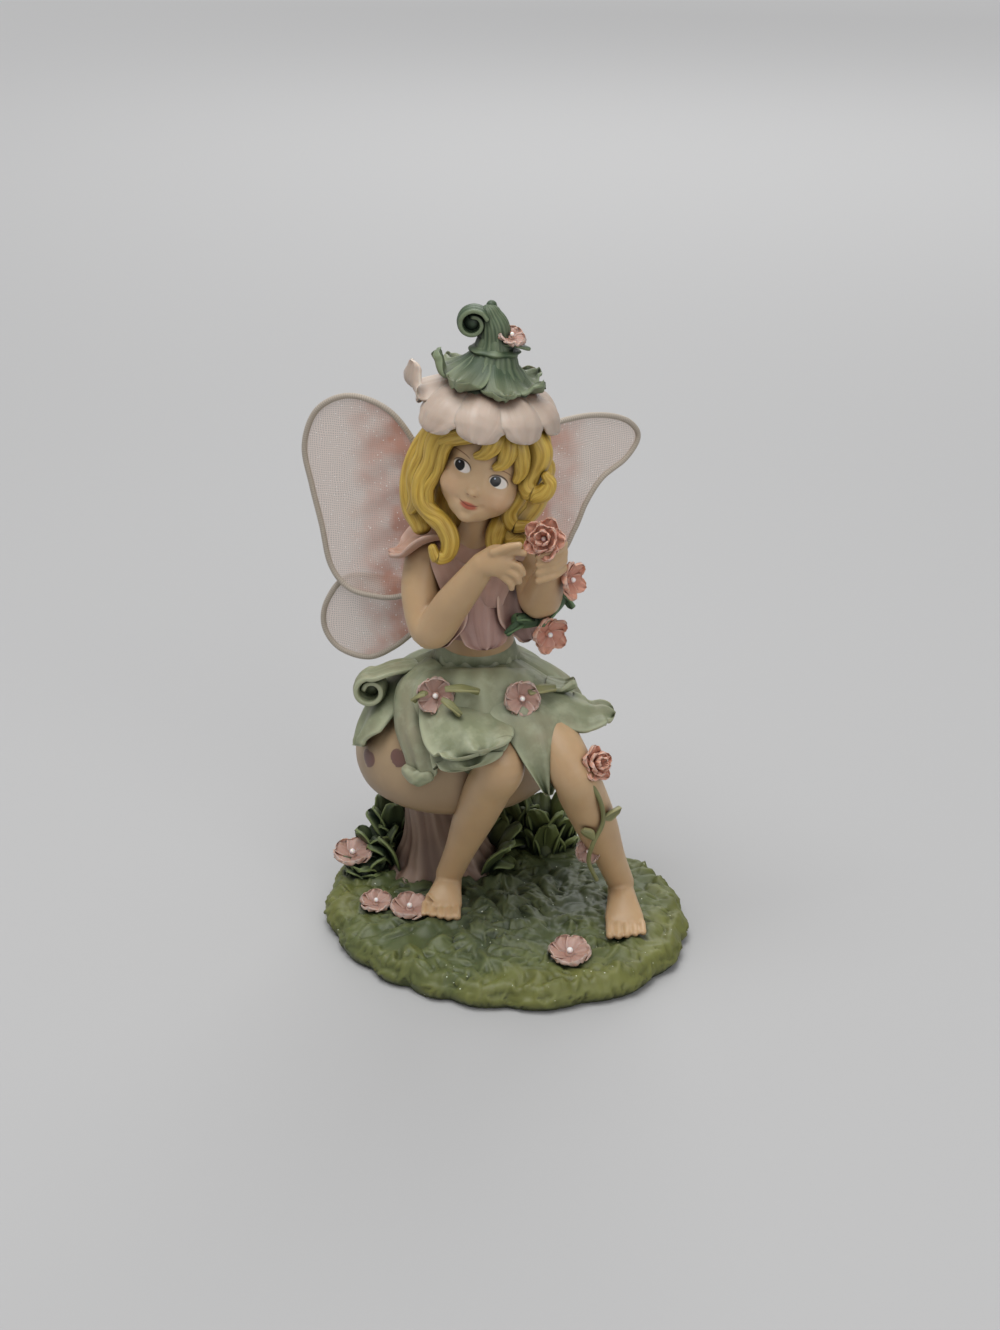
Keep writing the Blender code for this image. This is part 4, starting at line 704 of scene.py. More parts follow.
hair = {"ridge": 0.055, "fine": 3.4, "rightLocks": ("rightOuter", "rightMiddle", "rightFace", "rightBack",
                                                    "fringeRight", "fringeA")}
locks = {
    "rightOuter": [(-9.4, -2.0, 8.0, 2.8, 2.6), (-11.6, -2.4, 2.0, 3.0, 2.8), (-11.8, -2.2, -3.0, 2.6, 2.6),
                   (-12.2, -1.6, -8.0, 2.4, 2.6), (-10.6, -2.0, -12.0, 2.0, 2.2),
                   (-11.0, -1.0, -15.0, 1.2, 1.4)],
    "rightMiddle": [(-8.4, -5.0, 7.4, 2.4, 2.0), (-10.6, -5.2, 2.0, 2.5, 2.2),
                    (-10.4, -5.0, -3.0, 2.0, 1.9), (-10.8, -4.6, -7.4, 2.0, 1.9),
                    (-9.8, -4.6, -11.0, 2.0, 1.9), (-7.0, -4.4, -13.2, 2.0, 1.8),
                    (-3.4, -4.8, -14.6, 2.1, 1.8), (-1.0, -5.2, -17.2, 2.0, 1.7),
                    (-0.8, -5.2, -20.0, 1.7, 1.5), (-2.4, -5.6, -21.2, 1.4, 1.3),
                    (-3.8, -5.8, -19.8, 1.0, 1.0)],
    "rightFace": [(-7.6, -6.4, 6.0, 1.5, 1.4), (-9.0, -6.2, 1.0, 1.5, 1.4), (-8.4, -5.8, -4.0, 1.2, 1.2),
                  (-9.2, -5.2, -8.4, 1.4, 1.3), (-8.0, -4.4, -12.0, 1.4, 1.3)],
    "rightBack": [(-10.0, 2.0, 4.0, 4.0, 3.0), (-12.0, 3.0, -4.0, 4.2, 3.4), (-12.4, 3.0, -10.0, 3.6, 3.0),
                  (-10.4, 1.6, -15.0, 3.2, 2.6), (-8.0, 0.0, -18.0, 2.2, 2.0)],
    "fringeRight": [(-1.0, -8.4, 8.6, 1.6, 1.5), (-4.6, -8.4, 6.4, 1.9, 1.5), (-8.0, -7.0, 3.8, 1.7, 1.4),
                    (-10.6, -5.6, 1.4, 1.5, 1.4)],
    "fringeA": [(0.6, -8.0, 9.6, 1.7, 1.3), (0.4, -9.6, 6.8, 2.0, 1.2), (-0.6, -9.5, 4.2, 1.5, 0.9),
                (-2.2, -9.2, 2.8, 0.8, 0.6)],
    "fringeB": [(2.0, -8.0, 9.6, 1.7, 1.3), (3.4, -9.3, 6.4, 2.0, 1.2), (3.4, -8.9, 3.6, 1.5, 1.0),
                (2.2, -9.0, 2.0, 0.8, 0.6)],
    "fringeC": [(3.6, -7.6, 9.4, 1.8, 1.4), (6.0, -8.0, 6.0, 1.9, 1.4), (7.2, -7.0, 3.0, 1.5, 1.2),
                (7.0, -6.8, 0.6, 0.9, 0.8)],
    "leftSide": [(6.6, -4.0, 9.4, 2.8, 2.4), (9.0, -4.0, 6.8, 3.0, 2.6), (9.2, -3.8, 3.2, 2.6, 2.4),
                 (9.3, -4.6, 0.2, 2.2, 2.0), (11.0, -5.2, -1.2, 2.0, 1.8), (13.0, -5.4, 0.0, 1.9, 1.8),
                 (13.4, -5.4, 2.2, 1.5, 1.5), (12.2, -5.6, 3.4, 1.0, 1.2)],
    "leftInner": [(8.2, -3.0, 4.0, 2.0, 2.0), (8.6, -3.0, -2.0, 1.9, 2.0), (7.8, -2.6, -7.0, 1.7, 1.8),
                  (9.6, -2.6, -9.6, 1.5, 1.5), (12.4, -2.6, -8.6, 1.1, 1.2)],
    "leftBack": [(9.4, 3.0, 2.0, 4.0, 3.4), (10.4, 3.6, -5.0, 3.8, 3.2), (9.4, 1.0, -10.0, 3.2, 2.8),
                 (10.6, -1.0, -12.6, 2.4, 2.2), (13.2, -1.6, -12.4, 1.4, 1.4)],
    "leftLow": [(8.4, 1.0, -6.0, 2.6, 2.4), (7.2, -1.0, -11.0, 2.4, 2.2), (7.4, -2.0, -15.0, 1.9, 1.9),
                (9.6, -2.6, -17.0, 1.2, 1.3)],
    "nape": [(0.0, 8.0, 0.0, 9.0, 5.0), (-0.6, 8.6, -8.0, 9.4, 5.0), (-1.4, 8.4, -15.0, 8.6, 4.2),
             (-2.0, 7.4, -20.0, 5.0, 2.8)],
}


def makeLocks(names):
    bm = bmesh.new()
    for k, name in enumerate(names):
        stations = locks[name]
        wide = max(s[3] for s in stations)
        strands = 5 + int(wide * 1.6)
        limb(bm, stations, base=headFrame, rows=12 * len(stations), columns=8 * strands, strands=strands,
             depth=hair["ridge"] * 1.8 / (wide + 0.8), twist=2.0 + 0.6 * k, cap=0.07,
             fine=hair["fine"] * (1 + wide / 5))
    return bm


def makeHairCap():
    bm = bmesh.new()
    limb(bm, [(0.3, 4.4, 13.0, 3.0, 3.0), (0.3, 4.4, 9.0, 9.0, 8.6), (0.3, 4.4, 2.0, 11.2, 10.6),
              (0.3, 4.4, -5.0, 9.4, 8.8), (0.3, 4.4, -9.6, 4.0, 4.0)], base=headFrame, rows=60, columns=300,
         strands=34, depth=0.025, fine=hair["fine"] * 4)
    return bm


def combedGold(material, place):
    # Yellow paint brushed along the strands, deeper where the brush ran dry
    strand = addNode(material, "Attribute", attribute_name="strand")
    streak = addNode(material, "TexNoise", {"Vector": strand.outputs["Vector"], "Scale": 1.4,
                                            "Detail": 4.0})
    share = addNode(material, "MapRange", {"Value": streak.outputs["Fac"], "From Min": 0.35,
                                           "From Max": 0.65})
    return addNode(material, "Mix", {"Factor": share.outputs[0], 6: linear("a17b22"), 7: linear("cda844")},
                   data_type="RGBA").outputs[2]


hairResin = castResin("cold_cast_resin_hair_gold", combedGold, "dcc060", "664c12", hollow=2.2, mottle=8.0,
                      roughness=0.4, waxy=0.2)
dressPiece("hair_right", makeLocks(hair["rightLocks"]), hairResin)
dressPiece("hair_left", makeLocks([name for name in locks if name not in hair["rightLocks"]]), hairResin)
dressPiece("hair_crown", makeHairCap(), hairResin)
print("hair made")


# Hat: cupped petals under a green calyx with a curled stalk

hat = {"petals": 9, "brim": 15.2, "brimLift": 1.9, "brimTilt": 1.5, "lobes": 7, "calyx": 9.3,
       "calyxShift": -0.8, "top": 13.0, "flares": {0: 0.8, 3: 2.6, 6: 1.2}, "turnedUp": 4,
       "petalThickness": 1.1, "liftShares": (0.0, 0.25, 0.6, 0.9, 1.0), "curl": (-6.1, -0.6, 5.9),
       "curlRadius": 3.1, "paintReach": (12, 12, 9)}


def ringStations(angle, rows):
    return [(math.cos(angle) * r, math.sin(angle) * r, z, w, c) for r, z, w, c in rows]


def makeHatPetals():
    bm = bmesh.new()
    b = hat["brim"]
    for k in range(hat["petals"]):
        angle = 2 * math.pi * (k + 0.625) / hat["petals"]
        rows = ((3.5, 8.0, 1.8, 0.0), (b * 0.56, 6.2, 4.6, -0.9), (b * 0.82, 3.7, 6.0, -2.2),
                (b * 0.94, 1.2, 5.8, -2.0), (b * 0.98, -0.6, 4.4, -1.0))
        if k == hat["turnedUp"]:
            rows = ((3.5, 8.0, 1.8, 0.0), (b * 0.6, 5.8, 4.6, -0.8), (b * 0.92, 3.6, 5.0, -0.6),
                    (b * 1.06, 4.4, 4.6, 0.8), (b * 1.07, 7.4, 2.6, 1.0))
        lift = hat["brimLift"] + hat["brimTilt"] * math.cos(angle)
        rows = [(r, z + lift * share, w, c) for (r, z, w, c), share in zip(rows, hat["liftShares"])]
        # The petal that stands up at the side turns its face to the front
        across = (0.42, -0.9, 0) if k == hat["turnedUp"] else (-math.sin(angle), math.cos(angle), 0)
        leafSheet(bm, ringStations(angle, rows), across, hatFrame, thickness=hat["petalThickness"],
                  waves=(0.15, 2, 1.7 * k), veins=(4, 0.07), roll=-0.3, rows=44, columns=60, tip=0.5)
    return bm


def makeCalyx():
    bm = bmesh.new()
    top = hat["top"]
    limb(bm, [(0, -0.2, 3.6, 10.0), (-0.2, 0, 8.0, 8.0), (-0.5, 0, 11.0, 5.8), (-0.6, 0, top, 4.7),
              (-1.0, 0, top + 3.0, 3.4), (-1.8, 0, top + 6.0, 3.0), (-3.0, 0, top + 8.0, 2.2)],
         base=hatFrame, rows=60, columns=160, strands=23, depth=0.022, twist=1.2, cap=0.06, fine=9.0)
    for k in range(hat["lobes"]):
        angle = 2 * math.pi * (k + 0.6) / hat["lobes"]
        c = hat["calyx"]
        rows = ((3.8, 13.0, 2.2, -0.2), (c * 0.62, 10.8, 3.8, -0.9), (c * 0.96, 8.8, 4.3, -0.9),
                (c * 1.16, 8.2 + hat["flares"].get(k, 0.0), 2.6, 0.2))
        stations = [(x + hat["calyxShift"], *rest) for x, *rest in ringStations(angle, rows)]
        leafSheet(bm, stations, (-math.sin(angle), math.cos(angle), 0), hatFrame,
                  thickness=hat["petalThickness"], waves=(0.6, 2, 2 * k), veins=(8, 0.1), roll=0.7, rows=36,
                  columns=50)
    limb(bm, [(-0.6, 0, top + 0.4, 4.6, 4.2), (-0.7, 0, top + 1.2, 5.2, 4.7),
              (-0.8, 0, top + 2.0, 4.0, 3.6)], base=hatFrame, columns=120, strands=8, depth=0.04)
    # The stalk ends in a rolled leaf, open towards the front, and a small knob
    x, y, z = hat["curl"]
    curl = []
    for k in range(14):
        angle, radius = math.radians(30 + 33 * k), hat["curlRadius"] - 0.13 * k
        curl.append((x + radius * math.cos(angle), y, top + z + radius * math.sin(angle),
                     2.7 - 0.08 * k, 0.0))
    leafSheet(bm, curl, (0, 1, 0), hatFrame, thickness=1.3, rows=90, columns=48, veins=(4, 0.12), cap=0.03)
    limb(bm, [(-3.4, 0.6, top + 7.4, 2.0), (-2.9, 0.6, top + 8.8, 1.3), (-3.1, 0.6, top + 9.7, 1.1)],
         base=hatFrame)
    limb(bm, [(x, 0.9, top + z, 2.5, 2.5), (x, 1.6, top + z, 2.6, 2.6)], base=hatFrame, rows=16)
    leafSheet(bm, [(0.0, -0.8, top + 2.8, 1.6, 0.0), (2.6, -1.4, top + 3.4, 2.2, 0.3),
                   (5.4, -1.6, top + 3.2, 0.7, 0.0)],
              (0, 1, 0), hatFrame, thickness=0.9, rows=20, columns=28, tip=1.2)
    return bm


def calyxColours(material, place):
    # Dark green by the collar and the curl, washed out to pale sage at the lobes' rims
    out = addNode(material, "Mapping", {
        "Vector": place, "Location": tuple(hatFrame @ Vector((0, 0, hat["top"])) * mm),
        "Rotation": tuple(hatFrame.to_euler("XYZ")),
        "Scale": tuple(reach * mm for reach in hat["paintReach"])}, vector_type="TEXTURE")
    far = addNode(material, "VectorMath", {0: out.outputs[0]}, operation="LENGTH")
    split = addNode(material, "SeparateXYZ", {0: out.outputs[0]})
    below = addNode(material, "MapRange", {"Value": split.outputs["Z"], "From Min": 0.0, "From Max": -0.3})
    pale = addNode(material, "MapRange", {"Value": far.outputs["Value"], "From Min": 0.55, "From Max": 1.1})
    share = addNode(material, "Math", {0: below.outputs[0], 1: pale.outputs[0]}, operation="MULTIPLY")
    return addNode(material, "Mix", {"Factor": share.outputs[0], 6: linear("42543b"), 7: linear("7f8568")},
                   data_type="RGBA").outputs[2]


hatPetalResin = castResin("cold_cast_resin_petal_blush", "bcaa9b", "cabcae", "89705f", hollow=2.6,
                          mottle=7.0, roughness=0.42, waxy=0.35)
calyxResin = castResin("cold_cast_resin_calyx_green", calyxColours, "7d896a", "1c271c", hollow=2.6,
                       mottle=5.0, roughness=0.48)
dressPiece("hat_petals", makeHatPetals(), hatPetalResin)
dressPiece("hat_calyx", makeCalyx(), calyxResin)
print("hat made")


# Dress: bodice petals, sleeves, and a skirt of leaf panels

dress = {"bodiceThickness": 1.1, "bodicePetals": (-130, -79, -28, 22, 75, 130, 182), "panelThickness": 1.7,
         "blush": (73.0, 88.0), "curl": (-22.3, -2.2, 4.6), "curlRadius": 3.4}


def makeBodice():
    bm = bmesh.new()
    thick = dress["bodiceThickness"]
    limb(bm, [(-0.4, -0.8, 20.0, 8.4, 7.0), (-0.6, -0.8, 27.0, 9.4, 7.3), (-1.0, -0.8, 33.0, 10.1, 6.9),
              (-1.0, -1.2, 35.6, 9.2, 5.8)], rows=30, columns=60, cap=0.12)
    for k, degrees in enumerate(dress["bodicePetals"]):
        angle = math.radians(degrees)
        out = (math.cos(angle) * 1.25, math.sin(angle) * 0.92)
        stations = [(-0.6 + out[0] * r, -0.9 + out[1] * r, z, w, c) for r, z, w, c in (
            (7.3, 33.0, 4.4, -0.8), (7.7, 28.0, 5.4, -1.3), (8.3, 23.0, 6.0, -1.2), (9.8, 19.2, 4.8, 0.2))]
        leafSheet(bm, stations, (-math.sin(angle), math.cos(angle), 0), thickness=thick, veins=(6, 0.14),
                  roll=0.35, waves=(0.3, 2, k), tip=0.5)
    for stations in ([(-5.6, -2.0, 39.6, 4.0, -0.8), (-10.4, -3.4, 38.8, 5.6, -2.6),
                      (-14.8, -4.0, 36.2, 4.4, -1.6), (-17.4, -4.0, 36.2, 1.8, 0.2)],
                     [(5.6, -1.6, 39.0, 3.6, -0.8), (9.0, -2.2, 38.6, 4.8, -2.6),
                      (12.6, -2.4, 36.2, 3.6, -1.8), (14.4, -2.2, 36.4, 1.0, 0.0)]):
        leafSheet(bm, stations, (0, 1, 0), thickness=thick, veins=(5, 0.1), waves=(0.3, 3, 1.0))
    for x in (-6.4, 5.6):
        leafSheet(bm, [(x * 1.1, -1.0, 38.6, 2.6, -0.6), (x, -6.2, 36.0, 3.2, -0.6),
                       (x * 0.62, -8.0, 31.0, 3.8, -0.6), (x * 0.5, -8.0, 27.0, 3.0, 0.0)], thickness=thick,
                  veins=(4, 0.1))
    return bm


# Each skirt leaf: the way that its width runs, then x, y, z, half width and cup
panels = {
    "leftBack": ((-0.8, 0.6, 0), [(4.6, 6.0, 10.8, 4.4, -1.0), (9.0, 12.0, 7.4, 7.4, -2.4),
                                  (11.0, 17.4, 2.6, 7.6, -2.4), (11.6, 20.4, -2.2, 3.0, -0.6)]),
    "back": ((-1, 0, 0), [(-1.0, 7.0, 10.8, 4.4, -0.8), (-2.0, 14.4, 7.4, 7.8, -2.4),
                          (-3.0, 21.0, 2.0, 8.2, -2.6), (-3.4, 25.0, -3.0, 3.4, -0.8)]),
    "rightBack": ((-0.6, -0.8, 0), [(-6.2, 5.0, 10.8, 4.2, -0.8), (-13.4, 9.6, 6.8, 7.2, -2.4),
                                    (-18.4, 14.0, 1.0, 7.6, -2.6), (-21.4, 16.4, -5.2, 3.0, -0.8)]),
    "rightHip": ((0.1, -1, 0), [(-8.8, 1.4, 10.8, 4.0, -0.8), (-15.8, 2.0, 6.6, 6.4, -2.4),
                                (-21.6, 0.6, 0.6, 7.4, -3.0), (-24.4, -1.6, -4.4, 6.8, -2.4),
                                (-25.2, -3.0, -7.6, 3.6, -0.4)]),
    "leftHip": ((0, 1, 0), [(8.8, 1.0, 10.8, 4.0, -0.8), (15.0, 1.0, 7.6, 6.2, -2.4),
                            (19.6, 2.0, 3.4, 6.6, -2.4), (21.6, 3.6, -0.6, 3.6, -0.8)]),
    "leftThigh": ((0.5, 0.86, 0.1), [(7.0, -4.0, 10.8, 4.0, -0.8), (13.6, -9.0, 7.8, 5.8, -1.8),
                                     (19.2, -12.0, 4.8, 5.6, -1.4), (23.6, -11.0, 2.8, 4.8, -0.6),
                                     (26.6, -10.0, 2.4, 3.8, -0.4), (28.0, -9.8, 1.8, 2.6, -0.2)]),
    "betweenKnees": ((1, 0.35, 0), [(4.0, -6.6, 10.9, 4.4, -0.8), (8.2, -13.4, 8.0, 7.0, -2.2),
                                    (12.4, -18.8, 4.0, 6.8, -2.2), (14.2, -21.8, -3.0, 4.4, -1.2),
                                    (14.8, -21.2, -10.6, 0.9, 0.0)]),
    "rightThigh": ((1, 0.05, 0.1), [(-3.4, -6.8, 10.9, 4.6, -0.8), (-4.0, -13.2, 7.7, 8.0, -2.4),
                                    (-2.6, -18.8, 4.9, 9.2, -3.0), (-0.6, -23.2, 3.2, 8.8, -2.6),
                                    (0.0, -25.0, 2.2, 7.6, -1.6)]),
    "rightUnder": ((1, 0.05, 0.36), [(-3.0, -14.0, 5.0, 6.0, -2.0), (-3.0, -19.6, 2.4, 7.8, -2.6),
                                     (-1.8, -23.6, 0.6, 8.4, -2.8), (-1.4, -25.0, -0.8, 7.0, -1.4)]),
    "rightFold": ((0.75, -0.65, 0), [(-8.8, -3.0, 10.8, 3.6, -0.8), (-14.0, -7.6, 7.6, 5.0, -2.6),
                                     (-15.0, -12.4, 0.6, 5.0, -3.0), (-13.0, -15.6, -5.4, 4.6, -2.2),
                                     (-11.9, -16.6, -9.0, 4.2, -0.8)]),
    "rightUpright": ((0.3, 1, 0), [(14.6, -8.0, 8.4, 2.4, 0.0), (18.2, -8.4, 7.4, 2.6, 0.6),
                                   (20.6, -8.6, 8.4, 1.4, 0.6)]),
}


def makeSkirt():
    bm = bmesh.new()
    limb(bm, [(0, 0, 10.4, 9.3, 7.5), (0, 0, 11.4, 9.4, 7.6), (0, -0.2, 12.2, 8.9, 7.1)], rows=20,
         columns=80)
    limb(bm, [(0, 0, 10.5, 9.0, 7.2), (0, -0.6, 8.0, 12.0, 9.6), (0.2, -3.0, 4.0, 16.0, 13.4),
              (0.6, -4.2, 0.0, 16.6, 14.6)], rows=40, columns=160, strands=17, depth=0.03)
    for k, (across, stations) in enumerate(panels.values()):
        wide = max(station[3] for station in stations)
        leafSheet(bm, stations, across, thickness=dress["panelThickness"],
                  waves=(0.09 * wide, 2.0, 1.3 * k), veins=(3, 0.08), roll=0.07 * wide, rows=54, columns=66,
                  tip=0.35)
    # The rolled end of the fold beside the right knee
    limb(bm, [(-14.4, -15.0, -8.8, 1.5), (-12.4, -17.0, -9.4, 1.9), (-10.2, -18.0, -8.6, 1.4)], columns=40,
         strands=5, depth=0.06, twist=3.0)
    # The rolled leaf at the hip, seen from its open end
    x, y, z = dress["curl"]
    curl = [(-13.0, 0.6, 8.8, 3.0, 0.0), (-17.6, -1.2, 8.8, 3.4, 0.0)]
    for k in range(15):
        angle, radius = math.radians(75 + 32 * k), dress["curlRadius"] - 0.13 * k
        curl.append((x + radius * math.cos(angle), y, z + radius * math.sin(angle), 3.4 - 0.08 * k, 0.0))
    leafSheet(bm, curl, (0.15, 1, 0), thickness=dress["panelThickness"], rows=100, columns=48,
              veins=(4, 0.14), cap=0.03)
    limb(bm, [(x, 0.2, z, 2.8, 2.8), (x, 1.2, z, 2.9, 2.9)], rows=16)
    return bm


def bodicePinks(material, place):
    # Mauve at the hem, faded to warm blush at the shoulders
    up = addNode(material, "SeparateXYZ", {0: place})
    low, high = dress["blush"]
    share = addNode(material, "MapRange", {"Value": up.outputs["Z"], "From Min": low * mm,
                                           "From Max": high * mm})
    return addNode(material, "Mix", {"Factor": share.outputs[0], 6: linear("a7847a"), 7: linear("bf9a85")},
                   data_type="RGBA").outputs[2]


def skirtSages(material, place):
    # Sage with a breath of mauve brushed over the lap
    dabs = addNode(material, "TexNoise", {"Vector": place, "Scale": 1 / (16 * mm), "Detail": 3.0})
    share = addNode(material, "MapRange", {"Value": dabs.outputs["Fac"], "From Min": 0.5, "From Max": 0.68,
                                           "To Max": 0.5})
    body = addNode(material, "Mix", {"Factor": share.outputs[0], 6: linear("8b9072"), 7: linear("9c8e78")},
                   data_type="RGBA")
    # Dry-brushed light paint, patchy over the high parts
    dry = addNode(material, "TexNoise", {"Vector": place, "Scale": 1 / (3 * mm), "Detail": 5.0})
    pale = addNode(material, "MapRange", {"Value": dry.outputs["Fac"], "From Min": 0.48, "From Max": 0.7,
                                          "To Max": 0.55})
    return addNode(material, "Mix", {"Factor": pale.outputs[0], 6: body.outputs[2], 7: linear("b0b498")},
                   data_type="RGBA").outputs[2]


bodiceResin = castResin("cold_cast_resin_bodice_mauve", bodicePinks, "cfb2a2", "70504a", hollow=2.0,
                        mottle=6.0, roughness=0.42, waxy=0.3)
skirtResin = castResin("cold_cast_resin_skirt_sage", skirtSages, "aaae90", "474f37", hollow=3.0, mottle=5.0,
                       roughness=0.48, waxy=0.15)
dressPiece("bodice", makeBodice(), bodiceResin)
dressPiece("skirt", makeSkirt(), skirtResin)
print("dress made")


# Plants: leaves round the toadstool, and vines on the arm and the leg

armStalks = ((17.6, -14.6, 34.4), (14.0, -10.6, 21.6))
# Each loose leaf: root, tip and half width
armLeaves = (((17.4, -12.0, 30.4), (19.6, -9.6, 26.6), 1.6), ((12.0, -9.8, 23.8), (9.0, -12.4, 25.0), 1.6),
             ((16.6, -11.0, 27.4), (13.6, -13.2, 24.0), 1.6), ((10.0, -9.0, 23.0), (6.6, -10.8, 21.0), 1.6))
legLeaves = (((26.6, -20.8, -17.0), (29.8, -18.2, -16.2), 1.9),
             ((25.0, -21.0, -22.0), (22.4, -21.4, -20.0), 1.3))
sprigs = (((-6.4, -17.2, 11.2), (0.2, -17.4, 10.6), 1.5), ((-7.0, -18.0, 9.2), (-3.4, -20.0, 6.6), 1.1),
          ((-10.4, -15.6, 9.4), (-12.8, -14.2, 7.2), 1.5), ((10.8, -15.8, 9.8), (16.0, -12.6, 9.2), 1.8))
greens = {"ring": 22, "ringStart": 118, "ringStep": 14.5, "bareArc": (215, 318), "leafWidth": 3.2,
          "clumpLeaves": 10,
          # x, y and top of each clump
          "clumps": ((-29, 17, 14), (-25, 22, 19), (-31, 12, 10), (9, 21, 19), (4, 25, 18), (12, 23, 15),
                     (-3, 28, 17))}


def leaf(bm, root, tip, halfWidth, bend, base=plainFrame):
    root, tip = Vector(root), Vector(tip)
    middle = root.lerp(tip, 0.5) + Vector((0, 0, bend))
    flat = (tip - root).cross(Vector((0, 0, 1)))
    leafSheet(bm, [(*root, halfWidth * 0.5, 0.3), (*middle, halfWidth, 0.5),
                   (*tip, halfWidth * 0.65, -0.2)], flat,
              base, thickness=0.9, rows=18, columns=24, veins=(2, 0.12), waves=(0.3, 1.5, root.x), tip=0.6)


def makeLeaves():
    bm = bmesh.new()
    shift = toadstool["stemShift"]
    stem = Vector((figure["capCentre"][0] + shift[0], figure["capCentre"][1] + shift[1],
                   figure["baseTop"] - 1.4))
    first, last = greens["bareArc"]
    for k in range(greens["ring"]):
        degrees = greens["ringStart"] + greens["ringStep"] * k
        if first < degrees < last:
            continue
        angle = math.radians(degrees)
        out = Vector((math.cos(angle), math.sin(angle), 0))
        root = stem + out * (toadstool["footRadius"] - 1.5)
        tip = root + out * (5.6 + 1.6 * math.sin(5 * k)) + Vector((0, 0, 6.0 + 3.4 * math.sin(2.3 * k + 1)))
        leaf(bm, root, tip, greens["leafWidth"], 2.0)
    for k, (x, y, top) in enumerate(greens["clumps"]):
        limb(bm, [(x, y, 6.0, 3.6), (x, y, 0.5 * top, 2.6), (x, y, 0.8 * top, 1.2)], base=plainFrame)
        tier = greens["clumpLeaves"] // 2
        for side in range(greens["clumpLeaves"]):
            angle = 2 * math.pi * side / tier + k + (0.6 if side >= tier else 0)
            out = Vector((math.cos(angle), math.sin(angle), 0))
            low = 0.4 if side < tier else 0.15
            root = Vector((x, y, low * top)) + out
            tip = Vector((x, y, top * (low + 0.6 - 0.06 * (side % 3)))) + out * 4.2
            leaf(bm, root, tip, greens["leafWidth"], 1.8)
    return bm


def makeVines():
    bm = bmesh.new()
    limb(bm, [(16.2, -15.4, 35.6, 1.1), (18.0, -12.4, 32.0, 1.2), (17.4, -10.4, 28.6, 1.3),
              (15.4, -9.6, 25.4, 1.4), (12.2, -9.4, 23.4, 1.5), (8.8, -8.4, 22.8, 1.6)], across=(0, 1, 0),
         rows=60, columns=48, strands=5, depth=0.1, twist=9.0)
    for k, (x, y, z) in enumerate(armStalks):
        limb(bm, [(16.4 - 2 * k, -10.6, 31.0 - 6 * k, 1.4), (x, y, z, 1.5)])
    for root, tip, wide in armLeaves:
        leaf(bm, root, tip, wide, 0.6, seatFrame)
    return bm


def makeLegVine():
    bm = bmesh.new()
    limb(bm, [(23.0, -23.4, -6.4, 0.6), (25.8, -22.4, -12.0, 0.5), (26.6, -20.8, -18.0, 0.5),
              (24.6, -21.0, -23.0, 0.5), (23.8, -19.8, -28.0, 0.5), (25.6, -18.6, -33.0, 0.45)],
         across=(0, 1, 0), rows=60, columns=16)
    for root, tip, wide in legLeaves:
        middle = Vector(root).lerp(Vector(tip), 0.5)
        leafSheet(bm, [(*root, 0.5, 0.2), (*middle, wide, 0.6), (*tip, wide * 0.6, 0.3)], (0.3, -0.5, 1.0),
                  thickness=0.8, rows=20, columns=28, veins=(3, 0.1), roll=0.4)
    return bm


def makeSprigs():
    # Ribbon leaves beside the two flowers on the skirt
    bm = bmesh.new()
    for root, tip, wide in sprigs:
        leaf(bm, root, tip, wide, 0.7, seatFrame)
    return bm


def leafGreens(material, place):
    # Painted light: deep green by the stem, olive towards the back right where the clumps catch the light
    side = addNode(material, "SeparateXYZ", {0: place})
    patch = addNode(material, "TexNoise", {"Vector": place, "Scale": 1 / (7 * mm), "Detail": 2.0})
    moved = addNode(material, "Math", {0: patch.outputs["Fac"], 1: 0.03, 2: side.outputs["X"]},
                    operation="MULTIPLY_ADD")
    share = addNode(material, "MapRange", {"Value": moved.outputs[0], "From Min": 0.005, "From Max": 0.03})
    return addNode(material, "Mix", {"Factor": share.outputs[0], 6: linear("404a2e"), 7: linear("69733f")},
                   data_type="RGBA").outputs[2]


leafResin = castResin("cold_cast_resin_leaf_green", leafGreens, "7f8d55", "1f2a1d", hollow=2.6, mottle=4.0)
vineResin = castResin("cold_cast_resin_vine_green", "3f5a3c", "6c875c", "1e3024", hollow=2.0, mottle=3.0)
tendrilResin = castResin("cold_cast_resin_tendril_olive", "7c7c50", "a09c6e", "4a4e30", hollow=1.6,
                         mottle=3.0)
dressPiece("leaf_clumps", makeLeaves(), leafResin)
dressPiece("arm_vine", makeVines(), vineResin)
dressPiece("leg_vine", makeLegVine(), tendrilResin)
dressPiece("skirt_sprigs", makeSprigs(), tendrilResin)
print("plants made")


# Flowers and pearls, each set where the frame holds it

flower = {"radius": 3.8, "petals": 5, "thickness": 0.55, "seatToGlue": 0.7, "glueGap": 0.3,
          "pearlRadius": 0.62, "open": ((1.0, 0.36, 0.0),), "full": ((0.98, 0.25, 0.0), (0.72, 0.55, 0.5),
                                                                     (0.42, 0.9, 0.25))}
sizes = {"ground_flower_left": 1.1, "ground_flower_pair_outer": 0.88, "ground_flower_pair_inner": 1.04,
         "ground_flower_right": 1.15, "skirt_flower_right": 1.0, "skirt_flower_left": 0.95,
         "hand_flower": 0.98, "arm_flower_upper": 0.9, "arm_flower_lower": 0.9, "knee_flower": 0.85,
         "shin_flower": 0.7, "hat_flower": 0.75}


def nodeMiddle(name):
    low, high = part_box(name)
    return (Vector(low) + Vector(high)) / 2


